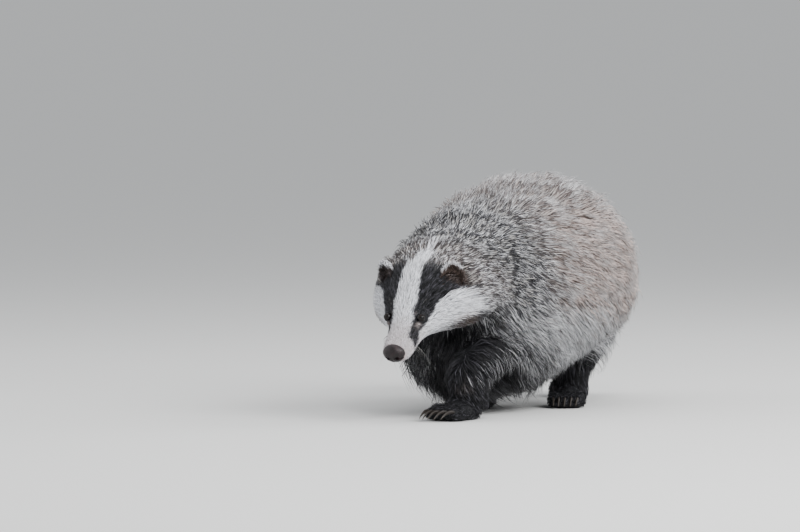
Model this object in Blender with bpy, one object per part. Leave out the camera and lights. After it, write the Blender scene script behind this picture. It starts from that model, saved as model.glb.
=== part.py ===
"""A life-size European badger, walking with its head held low, as a still museum model.

Metres, +Z up. The badger faces -Y and its left side is +X. It stands on the floor, z = 0.
The head, neck and torso are one long loft along the spine, parted by thin cuts. The long coat of
the neck, torso and tail is a shell of flat, tapered locks that lie back over a core: the sections
give the outline at the locks' tips, and the core stands inside them. The tail, legs, paws, ears,
eyes and nose are pieces of their own, each set against what it grows from.
"""

import math
import random

import bmesh
import bpy
import numpy as np
from mathutils import Matrix, Vector
from mathutils.bvhtree import BVHTree

# Driving dimensions of the animal
GAP = 0.0003  # the cut between two neighbouring pieces
STANCE_SHIFT = Vector((0.0, 0.0575, 0.0))  # brings the middle of the floor plan to the origin

NOSE_TIP = (-0.412, 0.090)  # y and z of the tip of the head's axis
HEAD_PITCH = 43.0  # degrees that the muzzle points below level
HEAD_TURN = 4.0  # degrees that the head is turned to the badger's right
HEAD_LENGTH = 0.150  # nose tip to the back of the skull, with the coat

# The head's sections, back from the nose: distance, half width, top, bottom, widest line, squareness
HEAD_SECTIONS = [
    (0.000, 0.0130, 0.0090, 0.0110, 0.000, 2.0),
    (0.006, 0.0180, 0.0130, 0.0160, -0.001, 2.1),
    (0.016, 0.0205, 0.0160, 0.0190, -0.003, 2.2),
    (0.035, 0.0220, 0.0185, 0.0210, -0.005, 2.2),
    (0.052, 0.0265, 0.0235, 0.0240, -0.006, 2.2),
    (0.068, 0.0400, 0.0300, 0.0300, -0.010, 2.1),
    (0.088, 0.0600, 0.0370, 0.0420, -0.020, 1.9),
    (0.110, 0.0770, 0.0430, 0.0560, -0.030, 1.8),
    (0.132, 0.0865, 0.0470, 0.0680, -0.036, 1.75),
    (0.150, 0.0900, 0.0500, 0.0760, -0.038, 1.8),
]
# The neck and torso, back from the head: y, z, pitch, half width, up, down, squareness
TRUNK_SECTIONS = [
    (-0.2480, 0.1700, 24.0, 0.0960, 0.0880, 0.1060, 1.95),
    (-0.2120, 0.1660, 9.0, 0.1020, 0.1040, 0.1280, 2.05),
    (-0.1600, 0.1620, 0.0, 0.1120, 0.1190, 0.1420, 2.15),
    (-0.0850, 0.1600, 0.0, 0.1270, 0.1400, 0.1320, 2.15),
    (-0.0100, 0.1620, 0.0, 0.1370, 0.1490, 0.1160, 2.15),
    (0.0600, 0.1660, 0.0, 0.1390, 0.1520, 0.1050, 2.1),
    (0.1200, 0.1700, 0.0, 0.1300, 0.1370, 0.0970, 2.05),
    (0.1680, 0.1740, 0.0, 0.1110, 0.1110, 0.0880, 2.0),
    (0.2050, 0.1780, 0.0, 0.0840, 0.0780, 0.0760, 2.0),
    (0.2260, 0.1800, 0.0, 0.0460, 0.0440, 0.0440, 2.0),
]
RUMP_END = (0.2350, 0.1800)
NECK_REAR = -0.222  # y of the cut between neck and torso
TRUNK_RING_STEP = 0.034
TRUNK_COLUMNS = 24
CORE_DEPTH = 0.018  # from the tips of the locks in to the core
CORE_SETTLES = 0.060  # distance behind the head over which the core takes its full depth

# The locks of the neck and torso
LOCK_ROW_STEP = 0.046  # between rows, along the back
LOCK_SPACING = 0.043  # between locks in a row
LOCK_LENGTH = 0.088
LOCK_WIDTH = 0.042
LOCK_THICKNESS = 0.010
LOCK_TAPER = (0.7, 1.0, 0.62, 0.0)  # its width from root to tip, as a share
LOCK_SINK = 0.006  # how deep a root stands in the core
LOCK_SEED = 44
TAIL_SEED = 42
FRINGE_SPAN = (100.0, 172.0)  # degrees from the top of the back where the coat hangs as a fringe
FLOOR_CLEAR = 0.008  # the lowest a tip may hang

TAIL_ROWS = 3
TAIL_LOCKS_PER_ROW = 5
TAIL_LOCK_LENGTH = 0.066
TAIL_LOCK_WIDTH = 0.030

MOUTH_ANGLE = 118.0  # degrees round from the top of the muzzle to the line of the mouth
MOUTH_SPAN = (0.008, 0.058)  # from behind the nose back to the corner of the mouth
MOUTH_DEPTH = 0.0016
MOUTH_HALF_WIDTH = 5.0  # degrees

NOSE_HALF_WIDTH = 0.0150
NOSE_HALF_HEIGHT = 0.0112
NOSE_HALF_LENGTH = 0.0105

EYE_RADIUS = 0.0056
EYE_PLACE = (0.0575, 0.0245, 0.0150)  # back from the nose, out, up
LID_OPENING = (0.0052, 0.0040)

EAR_PLACE = (0.1270, 0.0470, 0.0180)
EAR_HALF = (0.0170, 0.0085, 0.0240)  # half width, half depth and half height of its outside
EAR_WALL = 0.0030

TAIL_ROOT = (0.0, 0.205, 0.200)
TAIL_TIP = (-0.030, 0.296, 0.098)
TAIL_ENTRY = (0.0, -0.030, 0.012)  # from its root to its start inside the rump
TAIL_BOW = (0.0, 0.010, 0.006)  # how far its middle stands off the straight line

# Each leg: name, top, elbow or knee, wrist or heel, and the paw's middle and heading
LEGS = {
    "front_left": dict(
        top=(0.044, -0.140, 0.150), bend=(0.047, -0.178, 0.102), ankle=(0.040, -0.272, 0.060),
        paw=(0.031, -0.303), heading=-14.0, rear=False),
    "front_right": dict(
        top=(-0.050, -0.120, 0.150), bend=(-0.052, -0.085, 0.105), ankle=(-0.043, -0.032, 0.060),
        paw=(-0.040, -0.054), heading=6.0, rear=False),
    "hind_left": dict(
        top=(0.055, 0.105, 0.150), bend=(0.064, 0.082, 0.104), ankle=(0.067, 0.035, 0.060),
        paw=(0.072, 0.008), heading=16.0, rear=True),
    "hind_right": dict(
        top=(-0.050, 0.110, 0.150), bend=(-0.048, 0.145, 0.106), ankle=(-0.020, 0.258, 0.062),
        paw=(-0.014, 0.236), heading=14.0, rear=True),
}
LEG_RADII = {False: (0.036, 0.034, 0.028), True: (0.044, 0.039, 0.027)}
PAW_TOP = 0.040
LEG_END = 0.012  # how low a leg's loft runs before it is cut level
PAW_LENGTH = {False: 0.078, True: 0.088}
PAW_WIDTH = {False: 0.054, True: 0.045}
CLAW_LENGTH = {False: 0.026, True: 0.016}

COAT_GREY = (0.42, 0.41, 0.40, 1.0)
COAT_BLACK = (0.020, 0.018, 0.018, 1.0)
COAT_WHITE = (0.80, 0.79, 0.76, 1.0)
NOSE_BLACK = (0.030, 0.024, 0.026, 1.0)
EYE_BLACK = (0.006, 0.005, 0.005, 1.0)


def clear_scene():
    for obj in list(bpy.data.objects):
        bpy.data.objects.remove(obj)


def material(name, colour, roughness, metallic=0.0):
    made = bpy.data.materials.get(name) or bpy.data.materials.new(name)
    made.use_nodes = True
    shader = made.node_tree.nodes["Principled BSDF"]
    shader.inputs["Base Color"].default_value = colour
    shader.inputs["Roughness"].default_value = roughness
    shader.inputs["Metallic"].default_value = metallic
    return made


def follow(rows, places):
    """Every column of rows at the given first-column places, on a smooth curve through the rows."""
    rows = np.array(rows, float)
    stations = rows[:, 0]
    slopes = np.gradient(rows, stations, axis=0)
    places = np.atleast_1d(np.array(places, float))
    i = np.clip(np.searchsorted(stations, places) - 1, 0, len(stations) - 2)
    step = (stations[i + 1] - stations[i])[:, None]
    t = (places - stations[i])[:, None] / step
    return (
        (2 * t**3 - 3 * t**2 + 1) * rows[i]
        + (t**3 - 2 * t**2 + t) * step * slopes[i]
        + (3 * t**2 - 2 * t**3) * rows[i + 1]
        + (t**3 - t**2) * step * slopes[i + 1]
    )


def outline(angles, half_width, up, down, squareness):
    """(across, height) of a section. Angle 0 is its top, and it runs round by the left side."""
    power = 2.0 / squareness
    c, s = np.cos(angles), np.sin(angles)
    across = half_width * np.sign(s) * np.abs(s) ** power
    height = np.where(c > 0, up, down) * np.sign(c) * np.abs(c) ** power
    return across, height


def ring(centre, pitch, across, height):
    """Points of a section that stands square to the spine, which points pitch degrees down ahead."""
    tilt = math.radians(pitch)
    y = centre[0] - math.sin(tilt) * height
    z = centre[1] + math.cos(tilt) * height
    return np.stack([across, y, z], axis=1)


def mesh_object(name, points, faces, finish):
    mesh = bpy.data.meshes.new(name)
    mesh.from_pydata([tuple(p) for p in points], [], faces)
    mesh.materials.append(finish)
    obj = bpy.data.objects.new(name, mesh)
    bpy.context.scene.collection.objects.link(obj)
    face_out(obj)
    return obj


def face_out(obj):
    work = bmesh.new()
    work.from_mesh(obj.data)
    bmesh.ops.recalc_face_normals(work, faces=work.faces)
    work.to_mesh(obj.data)
    work.free()


def loft(name, rings, finish, first=None, last=None):
    """A closed skin over rings of equal size. An end is a point where first or last gives one, or flat."""
    count, size = len(rings), len(rings[0])
    points = [p for one in rings for p in one]
    faces = []
    for r in range(count - 1):
        for c in range(size):
            here, beside = r * size + c, r * size + (c + 1) % size
            faces += [(here, beside, beside + size), (here, beside + size, here + size)]
    for end, pole in ((0, first), (count - 1, last)):
        start = end * size
        if pole is None:
            faces.append(tuple(range(start, start + size)))
            continue
        points.append(pole)
        faces += [(start + c, start + (c + 1) % size, len(points) - 1) for c in range(size)]
    return mesh_object(name, points, faces, finish)


def boolean(obj, operation, others, solver="EXACT"):
    """Joins the others to obj, or cuts them from it, and removes them."""
    group = bpy.data.collections.new("pieces")
    for other in others:
        group.objects.link(other)
    step = obj.modifiers.new("step", "BOOLEAN")
    step.operation = operation
    step.operand_type = "COLLECTION"
    step.collection = group
    step.solver = solver
    graph = bpy.context.evaluated_depsgraph_get()
    made = bpy.data.meshes.new_from_object(obj.evaluated_get(graph))
    obj.modifiers.clear()
    obj.data = made
    for other in others:
        bpy.data.objects.remove(other)
    bpy.data.collections.remove(group)
    return obj


def keep_largest(obj, wanted=lambda centre: True):
    """Keeps the closed surface with the most faces, of those whose middle is wanted."""
    work = bmesh.new()
    work.from_mesh(obj.data)
    left = set(work.faces)
    islands = []
    while left:
        found, edge = [], [left.pop()]
        while edge:
            face = edge.pop()
            found.append(face)
            for line in face.edges:
                for other in line.link_faces:
                    if other in left:
                        left.discard(other)
                        edge.append(other)
        islands.append(found)
    fitting = [
        found for found in islands
        if wanted(sum((face.calc_center_median() for face in found), Vector()) / len(found))]
    largest = max(fitting, key=len)
    drop = [face for found in islands if found is not largest for face in found]
    bmesh.ops.delete(work, geom=drop, context="FACES")
    work.to_mesh(obj.data)
    work.free()
    return obj


def shade(obj, angle=40.0):
    obj.data.shade_smooth()
    obj.data.set_sharp_from_angle(angle=math.radians(angle))


def head_turn(share=1.0):
    """The turn of the head to the side, or a share of it, about the rear of the neck."""
    pivot = Matrix.Translation((0.0, NECK_REAR, 0.0))
    return pivot @ Matrix.Rotation(-math.radians(HEAD_TURN) * share, 4, "Z") @ pivot.inverted()


def head_frame():
    """Turns head space, x to the left, y back along the head's axis, z up from it, into the world."""
    nose = Matrix.Translation((0.0, *NOSE_TIP))
    return head_turn() @ nose @ Matrix.Rotation(math.radians(HEAD_PITCH), 4, "X")


def head_rotation():
    return head_frame().to_3x3().to_4x4()


def head_point(back, out, up):
    return head_frame() @ Vector((out, back, up))


def trunk_sections():
    """The stations of the neck and torso, starting on the back of the head."""
    back, half_width, top, bottom, widest, squareness = HEAD_SECTIONS[-1]
    middle = head_turn().inverted() @ head_point(back, 0.0, widest)
    junction = (middle.y, middle.z, HEAD_PITCH, half_width, top - widest, bottom + widest, squareness)
    return [junction] + TRUNK_SECTIONS


def head_rings(grow=0.0, length=HEAD_LENGTH - GAP):
    """Sections of the head, grown by grow, with the line of the mouth pressed in on both sides."""
    mouth = [MOUTH_ANGLE + turn * MOUTH_HALF_WIDTH for turn in (-1, 0, 1)]
    plain = [15.0 * i for i in range(13) if not MOUTH_ANGLE - 10 < 15.0 * i < MOUTH_ANGLE + 10]
    half = sorted(plain + mouth)
    angles = np.radians(half + [360.0 - a for a in reversed(half[1:-1])])
    degrees = np.degrees(angles)
    off_mouth = np.abs(np.minimum(degrees, 360.0 - degrees) - MOUTH_ANGLE) / MOUTH_HALF_WIDTH
    places = np.concatenate([
        np.array([0.0, 0.002, 0.005, 0.009, 0.014]), np.linspace(0.021, length, 15)])
    rings = []
    for back, half_width, top, bottom, widest, squareness in follow(HEAD_SECTIONS, places):
        up, down = top - widest + grow, bottom + widest + grow
        across, height = outline(angles, half_width + grow, up, down, squareness)
        along = (back - MOUTH_SPAN[0]) / (MOUTH_SPAN[1] - MOUTH_SPAN[0])
        depth = MOUTH_DEPTH * max(0.0, min(1.0, 6 * along, 3 * (1 - along)))
        press = 1.0 - depth * (off_mouth < 0.5) / np.hypot(across, height)
        points = [head_point(back, a, h + widest) for a, h in zip(across * press, height * press)]
        rings.append(points)
    return rings


def core_depth(y):
    """How far the core lies inside the outline: little behind the head, then all of CORE_DEPTH."""
    start = trunk_sections()[0][0]
    share = min(1.0, max(0.0, (y - start) / CORE_SETTLES))
    return CORE_DEPTH * (0.15 + 0.85 * share * share * (3 - 2 * share))


def trunk_rings(from_y, to_y, grow=0.0, count=None):
    """Sections of the core of the neck and torso between two places along the back."""
    count = count or max(2, round((to_y - from_y) / TRUNK_RING_STEP) + 1)
    angles = np.radians(np.arange(TRUNK_COLUMNS) * 360.0 / TRUNK_COLUMNS)
    start = trunk_sections()[0][0]
    rings = []
    for y, z, pitch, half_width, up, down, squareness in follow(
            trunk_sections(), np.linspace(from_y, to_y, count)):
        room = grow - core_depth(y)
        across, height = outline(angles, half_width + room, up + room, down + room, squareness)
        turn = head_turn(min(1.0, max(0.0, (NECK_REAR - y) / (NECK_REAR - start))))
        rings.append([turn @ Vector(p) for p in ring((y, z), pitch, across, height)])
    return rings


def ellipsoid(name, centre, radii, finish, turn=None, segments=20, rings=12):
    work = bmesh.new()
    bmesh.ops.create_uvsphere(work, u_segments=segments, v_segments=rings, radius=1.0)
    place = Matrix.Translation(centre) @ (turn or Matrix.Identity(4)) @ Matrix.Diagonal((*radii, 1.0))
    bmesh.ops.transform(work, matrix=place, verts=work.verts)
    mesh = bpy.data.meshes.new(name)
    work.to_mesh(mesh)
    work.free()
    mesh.materials.append(finish)
    obj = bpy.data.objects.new(name, mesh)
    bpy.context.scene.collection.objects.link(obj)
    return obj


def limb_rings(path, radii, columns, count):
    """Rings square to a smooth path, round or flattened, from (across, along) radii."""
    rows = [(i, *p, *r) for i, (p, r) in enumerate(zip(path, radii))]
    at = np.linspace(0, len(path) - 1, count)
    values = follow(rows, at)
    middles = values[:, 1:4]
    tangents = np.gradient(middles, axis=0)
    angles = np.arange(columns) * 2 * math.pi / columns
    rings = []
    for middle, tangent, (wide, deep) in zip(middles, tangents, values[:, 4:6]):
        tangent = tangent / np.linalg.norm(tangent)
        side = np.array([1.0, 0.0, 0.0]) - tangent[0] * tangent
        side /= np.linalg.norm(side)
        other = np.cross(tangent, side)
        rings.append(middle + np.outer(np.cos(angles) * wide, side) + np.outer(np.sin(angles) * deep, other))
    return rings


def make_nose(finish):
    """The nose pad, with two comma-shaped nostrils and the groove between them."""
    turn = head_rotation()
    pad = ellipsoid("nose", head_point(0.0045, 0.0, 0.0015),
                    (NOSE_HALF_WIDTH, NOSE_HALF_LENGTH, NOSE_HALF_HEIGHT), finish, turn, 16, 9)
    cutters = []
    for side in (-1, 1):
        hole = ellipsoid("nostril", head_point(-0.0055, side * 0.0062, -0.0010),
                         (0.0027, 0.0045, 0.0022), finish, turn, 8, 6)
        slit = ellipsoid("slit", head_point(-0.0020, side * 0.0102, -0.0026),
                         (0.0048, 0.0050, 0.0010), finish, turn, 8, 4)
        cutters += [hole, slit]
    return boolean(pad, "DIFFERENCE", cutters)


def nose_space(finish):
    turn = head_rotation()
    size = (NOSE_HALF_WIDTH + GAP, NOSE_HALF_LENGTH + GAP, NOSE_HALF_HEIGHT + GAP)
    return ellipsoid("nose_space", head_point(0.0045, 0.0, 0.0015), size, finish, turn, 16, 9)


def eye_place(side):
    back, out, up = EYE_PLACE
    return head_point(back, side * out, up)


def make_eye(side, finish, grow=0.0):
    name = "eye_left" if side > 0 else "eye_right"
    radius = EYE_RADIUS + grow
    return ellipsoid(name, eye_place(side), (radius,) * 3, finish, None, 12, 8)


def make_lids(side, finish):
    """A rim round the eye's opening, thick enough for both lids."""
    looks = head_frame().to_3x3() @ Vector((side * 0.78, -0.42, 0.46)).normalized()
    turn = looks.to_track_quat("Z", "Y").to_matrix().to_4x4()
    place = Matrix.Translation(eye_place(side) + looks * 0.0022) @ turn
    size = (LID_OPENING[0] + 0.0016, LID_OPENING[1] + 0.0016)
    around = np.arange(18) * 2 * math.pi / 18
    tube = np.arange(6) * 2 * math.pi / 6
    points = [
        place @ Vector((
            (size[0] + 0.0019 * math.cos(b)) * math.cos(a),
            (size[1] + 0.0019 * math.cos(b)) * math.sin(a),
            0.0019 * math.sin(b)))
        for a in around for b in tube
    ]
    faces = [
        (i * 6 + j, i * 6 + (j + 1) % 6, ((i + 1) % 18) * 6 + (j + 1) % 6, ((i + 1) % 18) * 6 + j)
        for i in range(18) for j in range(6)
    ]
    return mesh_object("lids", points, faces, finish)


def ear_turn(side):
    """The ear leans back and out, with its cup to the front and the side."""
    return (
        head_rotation()
        @ Matrix.Rotation(side * math.radians(21.0), 4, "Y")
        @ Matrix.Rotation(side * math.radians(28.0), 4, "Z")
        @ Matrix.Rotation(math.radians(-30.0), 4, "X")
    )


def make_ear(side, finish):
    name = "ear_left" if side > 0 else "ear_right"
    turn = ear_turn(side)
    centre = head_point(EAR_PLACE[0], side * EAR_PLACE[1], EAR_PLACE[2])
    shell = ellipsoid(name, centre, EAR_HALF, finish, turn, 16, 10)
    wide, deep, high = EAR_HALF
    cup_centre = centre + turn.to_3x3() @ Vector((0.0, -0.45 * deep, 0.0015))
    cup = ellipsoid("cup", cup_centre, (wide - EAR_WALL, deep, high - EAR_WALL), finish, turn, 14, 8)
    boolean(shell, "DIFFERENCE", [cup])
    head_solid = loft("head_space", head_rings(grow=GAP), finish)
    boolean(shell, "DIFFERENCE", [head_solid, trunk_space(finish)])
    return keep_largest(shell)


def make_head(finish):
    head = loft("head", head_rings(), finish)
    boolean(head, "UNION", [make_lids(side, finish) for side in (-1, 1)])
    boolean(head, "DIFFERENCE", [nose_space(finish)] + [make_eye(side, finish, GAP) for side in (-1, 1)])
    return keep_largest(head)


def make_core(finish):
    """The neck and torso in one, without the coat's outer half."""
    rings = trunk_rings(trunk_sections()[0][0] + GAP, TRUNK_SECTIONS[-1][0] - CORE_DEPTH)
    return loft("core", rings, finish, last=(0.0, RUMP_END[0] - CORE_DEPTH, RUMP_END[1]))


def surface(obj):
    """A tree for finding the nearest point of a mesh and the way its surface faces there."""
    work = bmesh.new()
    work.from_mesh(obj.data)
    tree = BVHTree.FromBMesh(work)
    work.free()
    return tree


def lie_at(point, normal):
    """The way the trunk's coat lies: backwards, and more and more downwards to the flanks and rump."""
    side = abs(normal.x)
    way = Vector((0.0, 1.0, -0.15 - 0.75 * side - 0.5 * max(0.0, normal.y)))
    way -= normal * way.dot(normal)
    return way.normalized()


def lock(name, tree, root, way, sizes, rises, bend, hang, finish):
    """A flat, tapered lock that starts inside the core and follows its surface to a point above it."""
    length, width, thickness = sizes
    here, normal, _, _ = tree.find_nearest(root)
    ahead = way(here, normal)
    ahead = (ahead + normal.cross(ahead) * bend).normalized()
    places, steps = [here.copy()], 3
    heights = [normal.copy()]
    aheads = [ahead.copy()]
    for step in range(steps):
        here = here + ahead * (length / steps)
        near, normal, _, off = tree.find_nearest(here)
        here = here + (near - here) * (1.0 - hang)
        lie = way(near, normal)
        lie = (lie + normal.cross(lie) * bend).normalized()
        ahead = (ahead * hang + lie * (1.0 - hang) + Vector((0.0, 0.0, -0.25 * hang))).normalized()
        places.append(here.copy())
        heights.append(normal.copy())
        aheads.append(ahead.copy())
    rings = []
    for place, normal, ahead, rise, share in zip(places, heights, aheads, rises, LOCK_TAPER):
        place = place + normal * rise
        place.z = max(place.z, FLOOR_CLEAR)
        side = ahead.cross(normal).normalized()
        if share == 0.0:
            tip = place
            continue
        out = side.cross(ahead).normalized()
        ridge = thickness * (0.4 + 0.6 * share)
        half = side * (width / 2 * share)
        rings.append([place + half, place + out * ridge, place - half])
    return loft(name, rings, finish, last=tip)


def trunk_locks(core, finish):
    """Rows of locks round the core, each row set half a lock on from the last."""
    chance = random.Random(LOCK_SEED)
    tree = surface(core)
    first, last = trunk_sections()[0][0] + 0.020, RUMP_END[0] - CORE_DEPTH
    made, y, row = [], first, 0
    while y < last - 0.004:
        ring_here = trunk_rings(y, y, count=1)[0]
        middle = sum(ring_here, Vector()) / len(ring_here)
        around = sum((ring_here[i] - ring_here[i - 1]).length for i in range(len(ring_here)))
        count = max(5, round(around / LOCK_SPACING))
        for i in range(count):
            turn = 360.0 * (i + 0.5 * (row % 2) + chance.uniform(-0.16, 0.16)) / count
            exact = (turn % 360.0) / 360.0 * len(ring_here)
            a, b = ring_here[int(exact) % len(ring_here)], ring_here[(int(exact) + 1) % len(ring_here)]
            root = a.lerp(b, exact % 1.0)
            root.y += chance.uniform(-0.25, 0.25) * LOCK_ROW_STEP
            off_top = min(turn % 360.0, 360.0 - turn % 360.0)
            hangs = FRINGE_SPAN[0] < off_top < FRINGE_SPAN[1]
            size = chance.uniform(0.85, 1.15)
            short = min(1.0, max(0.55, (y - first) / 0.08 + 0.55))
            rise = core_depth(y) * chance.uniform(1.0, 1.3)
            made.append(lock(
                f"lock_{row}_{i}", tree, root, lie_at,
                (LOCK_LENGTH * size * short, LOCK_WIDTH * (1.1 if size < 1 else 0.95), LOCK_THICKNESS),
                (-LOCK_SINK, 0.25 * rise, 0.65 * rise, rise),
                chance.uniform(-0.22, 0.22), 0.45 if hangs else 0.06, finish))
        slope = (trunk_rings(y + 0.004, y + 0.004, count=1)[0][6] - ring_here[6]).length / 0.004
        y += LOCK_ROW_STEP / max(1.0, slope)
        row += 1
    return made


def slab(finish):
    """A thin plate across the trunk where the neck meets the torso."""
    y, z, pitch = follow(trunk_sections(), NECK_REAR)[0][:3]
    work = bmesh.new()
    bmesh.ops.create_cube(work, size=1.0)
    tilt = Matrix.Rotation(math.radians(pitch), 4, "X")
    place = Matrix.Translation((0.0, y, z)) @ tilt @ Matrix.Diagonal((1.0, GAP, 1.0, 1.0))
    bmesh.ops.transform(work, matrix=place, verts=work.verts)
    mesh = bpy.data.meshes.new("slab")
    work.to_mesh(mesh)
    work.free()
    mesh.materials.append(finish)
    obj = bpy.data.objects.new("slab", mesh)
    bpy.context.scene.collection.objects.link(obj)
    return obj


def make_trunk(finish, spaces):
    """The core and its locks fused, then parted into neck and torso."""
    core = make_core(finish)
    locks = trunk_locks(core, finish)
    coat = boolean(locks[0], "UNION", locks[1:], "MANIFOLD")
    boolean(coat, "DIFFERENCE", spaces, "MANIFOLD")
    boolean(core, "UNION", [coat], "MANIFOLD")
    boolean(core, "DIFFERENCE", [slab(finish)], "MANIFOLD")
    torso = core.copy()
    torso.data = core.data.copy()
    bpy.context.scene.collection.objects.link(torso)
    core.name, torso.name = "neck", "torso"
    keep_largest(core, lambda centre: centre.y < NECK_REAR)
    keep_largest(torso, lambda centre: centre.y > NECK_REAR)
    return core, torso


def tail_path():
    root, tip = np.array(TAIL_ROOT), np.array(TAIL_TIP)
    return [root + TAIL_ENTRY, root + 0.25 * (tip - root) + TAIL_BOW, root + 0.6 * (tip - root) + TAIL_BOW,
            root + 0.9 * (tip - root)]


def make_tail(finish):
    """The tail's core and its locks, which run together past its end."""
    radii = [(0.018, 0.016), (0.019, 0.017), (0.016, 0.014), (0.007, 0.006)]
    rings = limb_rings(tail_path(), radii, 10, 7)
    tail = loft("tail", rings, finish, last=Vector(TAIL_TIP) * 0.6 + Vector(tail_path()[3]) * 0.4)
    tree = surface(tail)
    chance = random.Random(TAIL_SEED)
    axis = (Vector(TAIL_TIP) - Vector(TAIL_ROOT)).normalized()

    def along(point, normal):
        way = axis - normal * axis.dot(normal)
        return way.normalized() if way.length > 0.2 else axis

    locks = []
    for row in range(TAIL_ROWS):
        ring_here = rings[1 + row]
        for i in range(TAIL_LOCKS_PER_ROW):
            around = (i + 0.5 * (row % 2)) * len(ring_here) / TAIL_LOCKS_PER_ROW
            point = ring_here[int(around) % len(ring_here)]
            size = chance.uniform(0.85, 1.15)
            locks.append(lock(
                f"tail_lock_{row}_{i}", tree, Vector(point), along,
                (TAIL_LOCK_LENGTH * size, TAIL_LOCK_WIDTH, 0.008),
                (-0.004, 0.004, 0.008, 0.008), chance.uniform(-0.15, 0.15), 0.5, finish))
    boolean(tail, "UNION", locks, "MANIFOLD")
    boolean(tail, "DIFFERENCE", [trunk_space(finish)], "MANIFOLD")
    return keep_largest(tail)


def tail_space(finish):
    """The room that the tail and its locks take, for keeping the rump's locks out of it."""
    radii = [(0.034, 0.032), (0.036, 0.034), (0.036, 0.034), (0.030, 0.028)]
    return loft("tail_space", limb_rings(tail_path(), radii, 12, 7), finish, last=Vector(TAIL_TIP) * 1.05)


def trunk_space(finish):
    """The core of the neck and torso grown by the cut, for shaping what meets it."""
    rings = trunk_rings(trunk_sections()[0][0] + GAP, TRUNK_SECTIONS[-1][0] - CORE_DEPTH, grow=GAP)
    end = RUMP_END[0] - CORE_DEPTH + GAP
    return loft("trunk_space", rings, finish, last=(0.0, end, RUMP_END[1]))


def leg_loft(name, leg, grow, finish):
    shoulder, bend, ankle = (r + grow for r in LEG_RADII[leg["rear"]])
    foot = (leg["ankle"][0], leg["ankle"][1], LEG_END)
    path = [leg["top"], leg["bend"], leg["ankle"], foot]
    radii = [
        (shoulder, shoulder * 1.1), (bend, bend * 1.05), (ankle, ankle * 1.1), (ankle * 0.97, ankle * 1.05)]
    return loft("leg_" + name, limb_rings(path, radii, 14, 8), finish)


def make_leg(name, leg, finish):
    obj = leg_loft(name, leg, 0.0, finish)
    boolean(obj, "DIFFERENCE", [trunk_space(finish), below(PAW_TOP + GAP)], "MANIFOLD")
    return keep_largest(obj)


def below(height):
    """A block that reaches from under the floor up to a height, for cutting level faces."""
    work = bmesh.new()
    bmesh.ops.create_cube(work, size=1.0)
    bmesh.ops.transform(work, matrix=Matrix.Translation((0, 0, height - 0.5)), verts=work.verts)
    mesh = bpy.data.meshes.new("below")
    work.to_mesh(mesh)
    work.free()
    obj = bpy.data.objects.new("below", mesh)
    bpy.context.scene.collection.objects.link(obj)
    return obj


def above(height):
    obj = below(height)
    obj.data.transform(Matrix.Translation((0, 0, 1.0)))
    return obj


def make_claw(place, length, grow, finish):
    """A curved, tapering claw that starts inside the toe and ends just over the floor."""
    rings = []
    for step in range(3):
        t = step / 3
        height = 0.0105 + 0.004 * math.sin(math.pi * t) - 0.0075 * t * t
        middle = Vector((0.0, -length * 1.25 * t + 0.006, height))
        size = 0.0030 * (1 - 0.75 * t) + grow
        rings.append([
            place @ (middle + Vector((size * 0.8 * math.cos(a), 0.0, size * 1.15 * math.sin(a))))
            for a in (i * math.pi / 2 for i in range(4))
        ])
    tip = place @ Vector((0.0, -length * 1.25 + 0.006 - grow, 0.0028))
    return loft("claw", rings, finish, last=tip)


def paw_pieces(name, leg, grow, finish):
    """The stub of the ankle, the sole, five toes and their claws, before they are fused."""
    rear = leg["rear"]
    long, wide = PAW_LENGTH[rear], PAW_WIDTH[rear]
    x, y = leg["paw"]
    turned = Matrix.Rotation(math.radians(leg["heading"]), 4, "Z")
    base = Matrix.Translation((x, y, 0.0)) @ turned
    ankle = LEG_RADII[rear][2]
    across, back = leg["ankle"][:2]
    path = [(across, back, PAW_TOP + 0.01), (across, back - 0.004, 0.012)]
    radii = [(ankle * 0.97 + grow, ankle * 1.05 + grow), (ankle * 0.8 + grow, ankle + grow)]
    pieces = [loft("paw_" + name, limb_rings(path, radii, 12, 2), finish)]
    pieces.append(ellipsoid(
        "sole", base @ Vector((0, 0.012, 0.009)), (wide * 0.44 + grow, long * 0.44 + grow, 0.022 + grow),
        finish, turned, 12, 6))
    for across in (-0.40, -0.21, 0.0, 0.21, 0.40):
        ahead = -long * (0.36 - 0.42 * across * across)
        toe_place = (
            base @ Matrix.Translation((wide * across, ahead, 0.0)) @ Matrix.Rotation(across * -0.30, 4, "Z"))
        pieces.append(ellipsoid(
            "toe", toe_place @ Vector((0, 0, 0.0085)), (0.0070 + grow, 0.0150 + grow, 0.0100 + grow),
            finish, toe_place.to_3x3().to_4x4(), 7, 5))
        claw_place = toe_place @ Matrix.Translation((0, -0.010, 0))
        pieces.append(make_claw(claw_place, CLAW_LENGTH[rear], grow, finish))
    return pieces


def make_paw(name, leg, finish):
    pieces = paw_pieces(name, leg, 0.0, finish)
    paw = boolean(pieces[0], "UNION", pieces[1:])
    boolean(paw, "DIFFERENCE", [below(0.0), above(PAW_TOP), trunk_space(finish)])
    return keep_largest(paw)


def coat_spaces(finish):
    """What the trunk's locks are cut clear of: the head, the ears, the legs, the paws and the tail."""
    spaces = [loft("head_space", head_rings(grow=GAP, length=HEAD_LENGTH), finish), tail_space(finish)]
    for side in (-1, 1):
        spaces.append(ellipsoid(
            "ear_space", head_point(EAR_PLACE[0], side * EAR_PLACE[1], EAR_PLACE[2]),
            tuple(size + GAP for size in EAR_HALF), finish, ear_turn(side), 16, 10))
    for name, leg in LEGS.items():
        spaces.append(leg_loft(name, leg, GAP, finish))
        spaces += paw_pieces(name, leg, GAP, finish)
    return spaces


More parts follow.
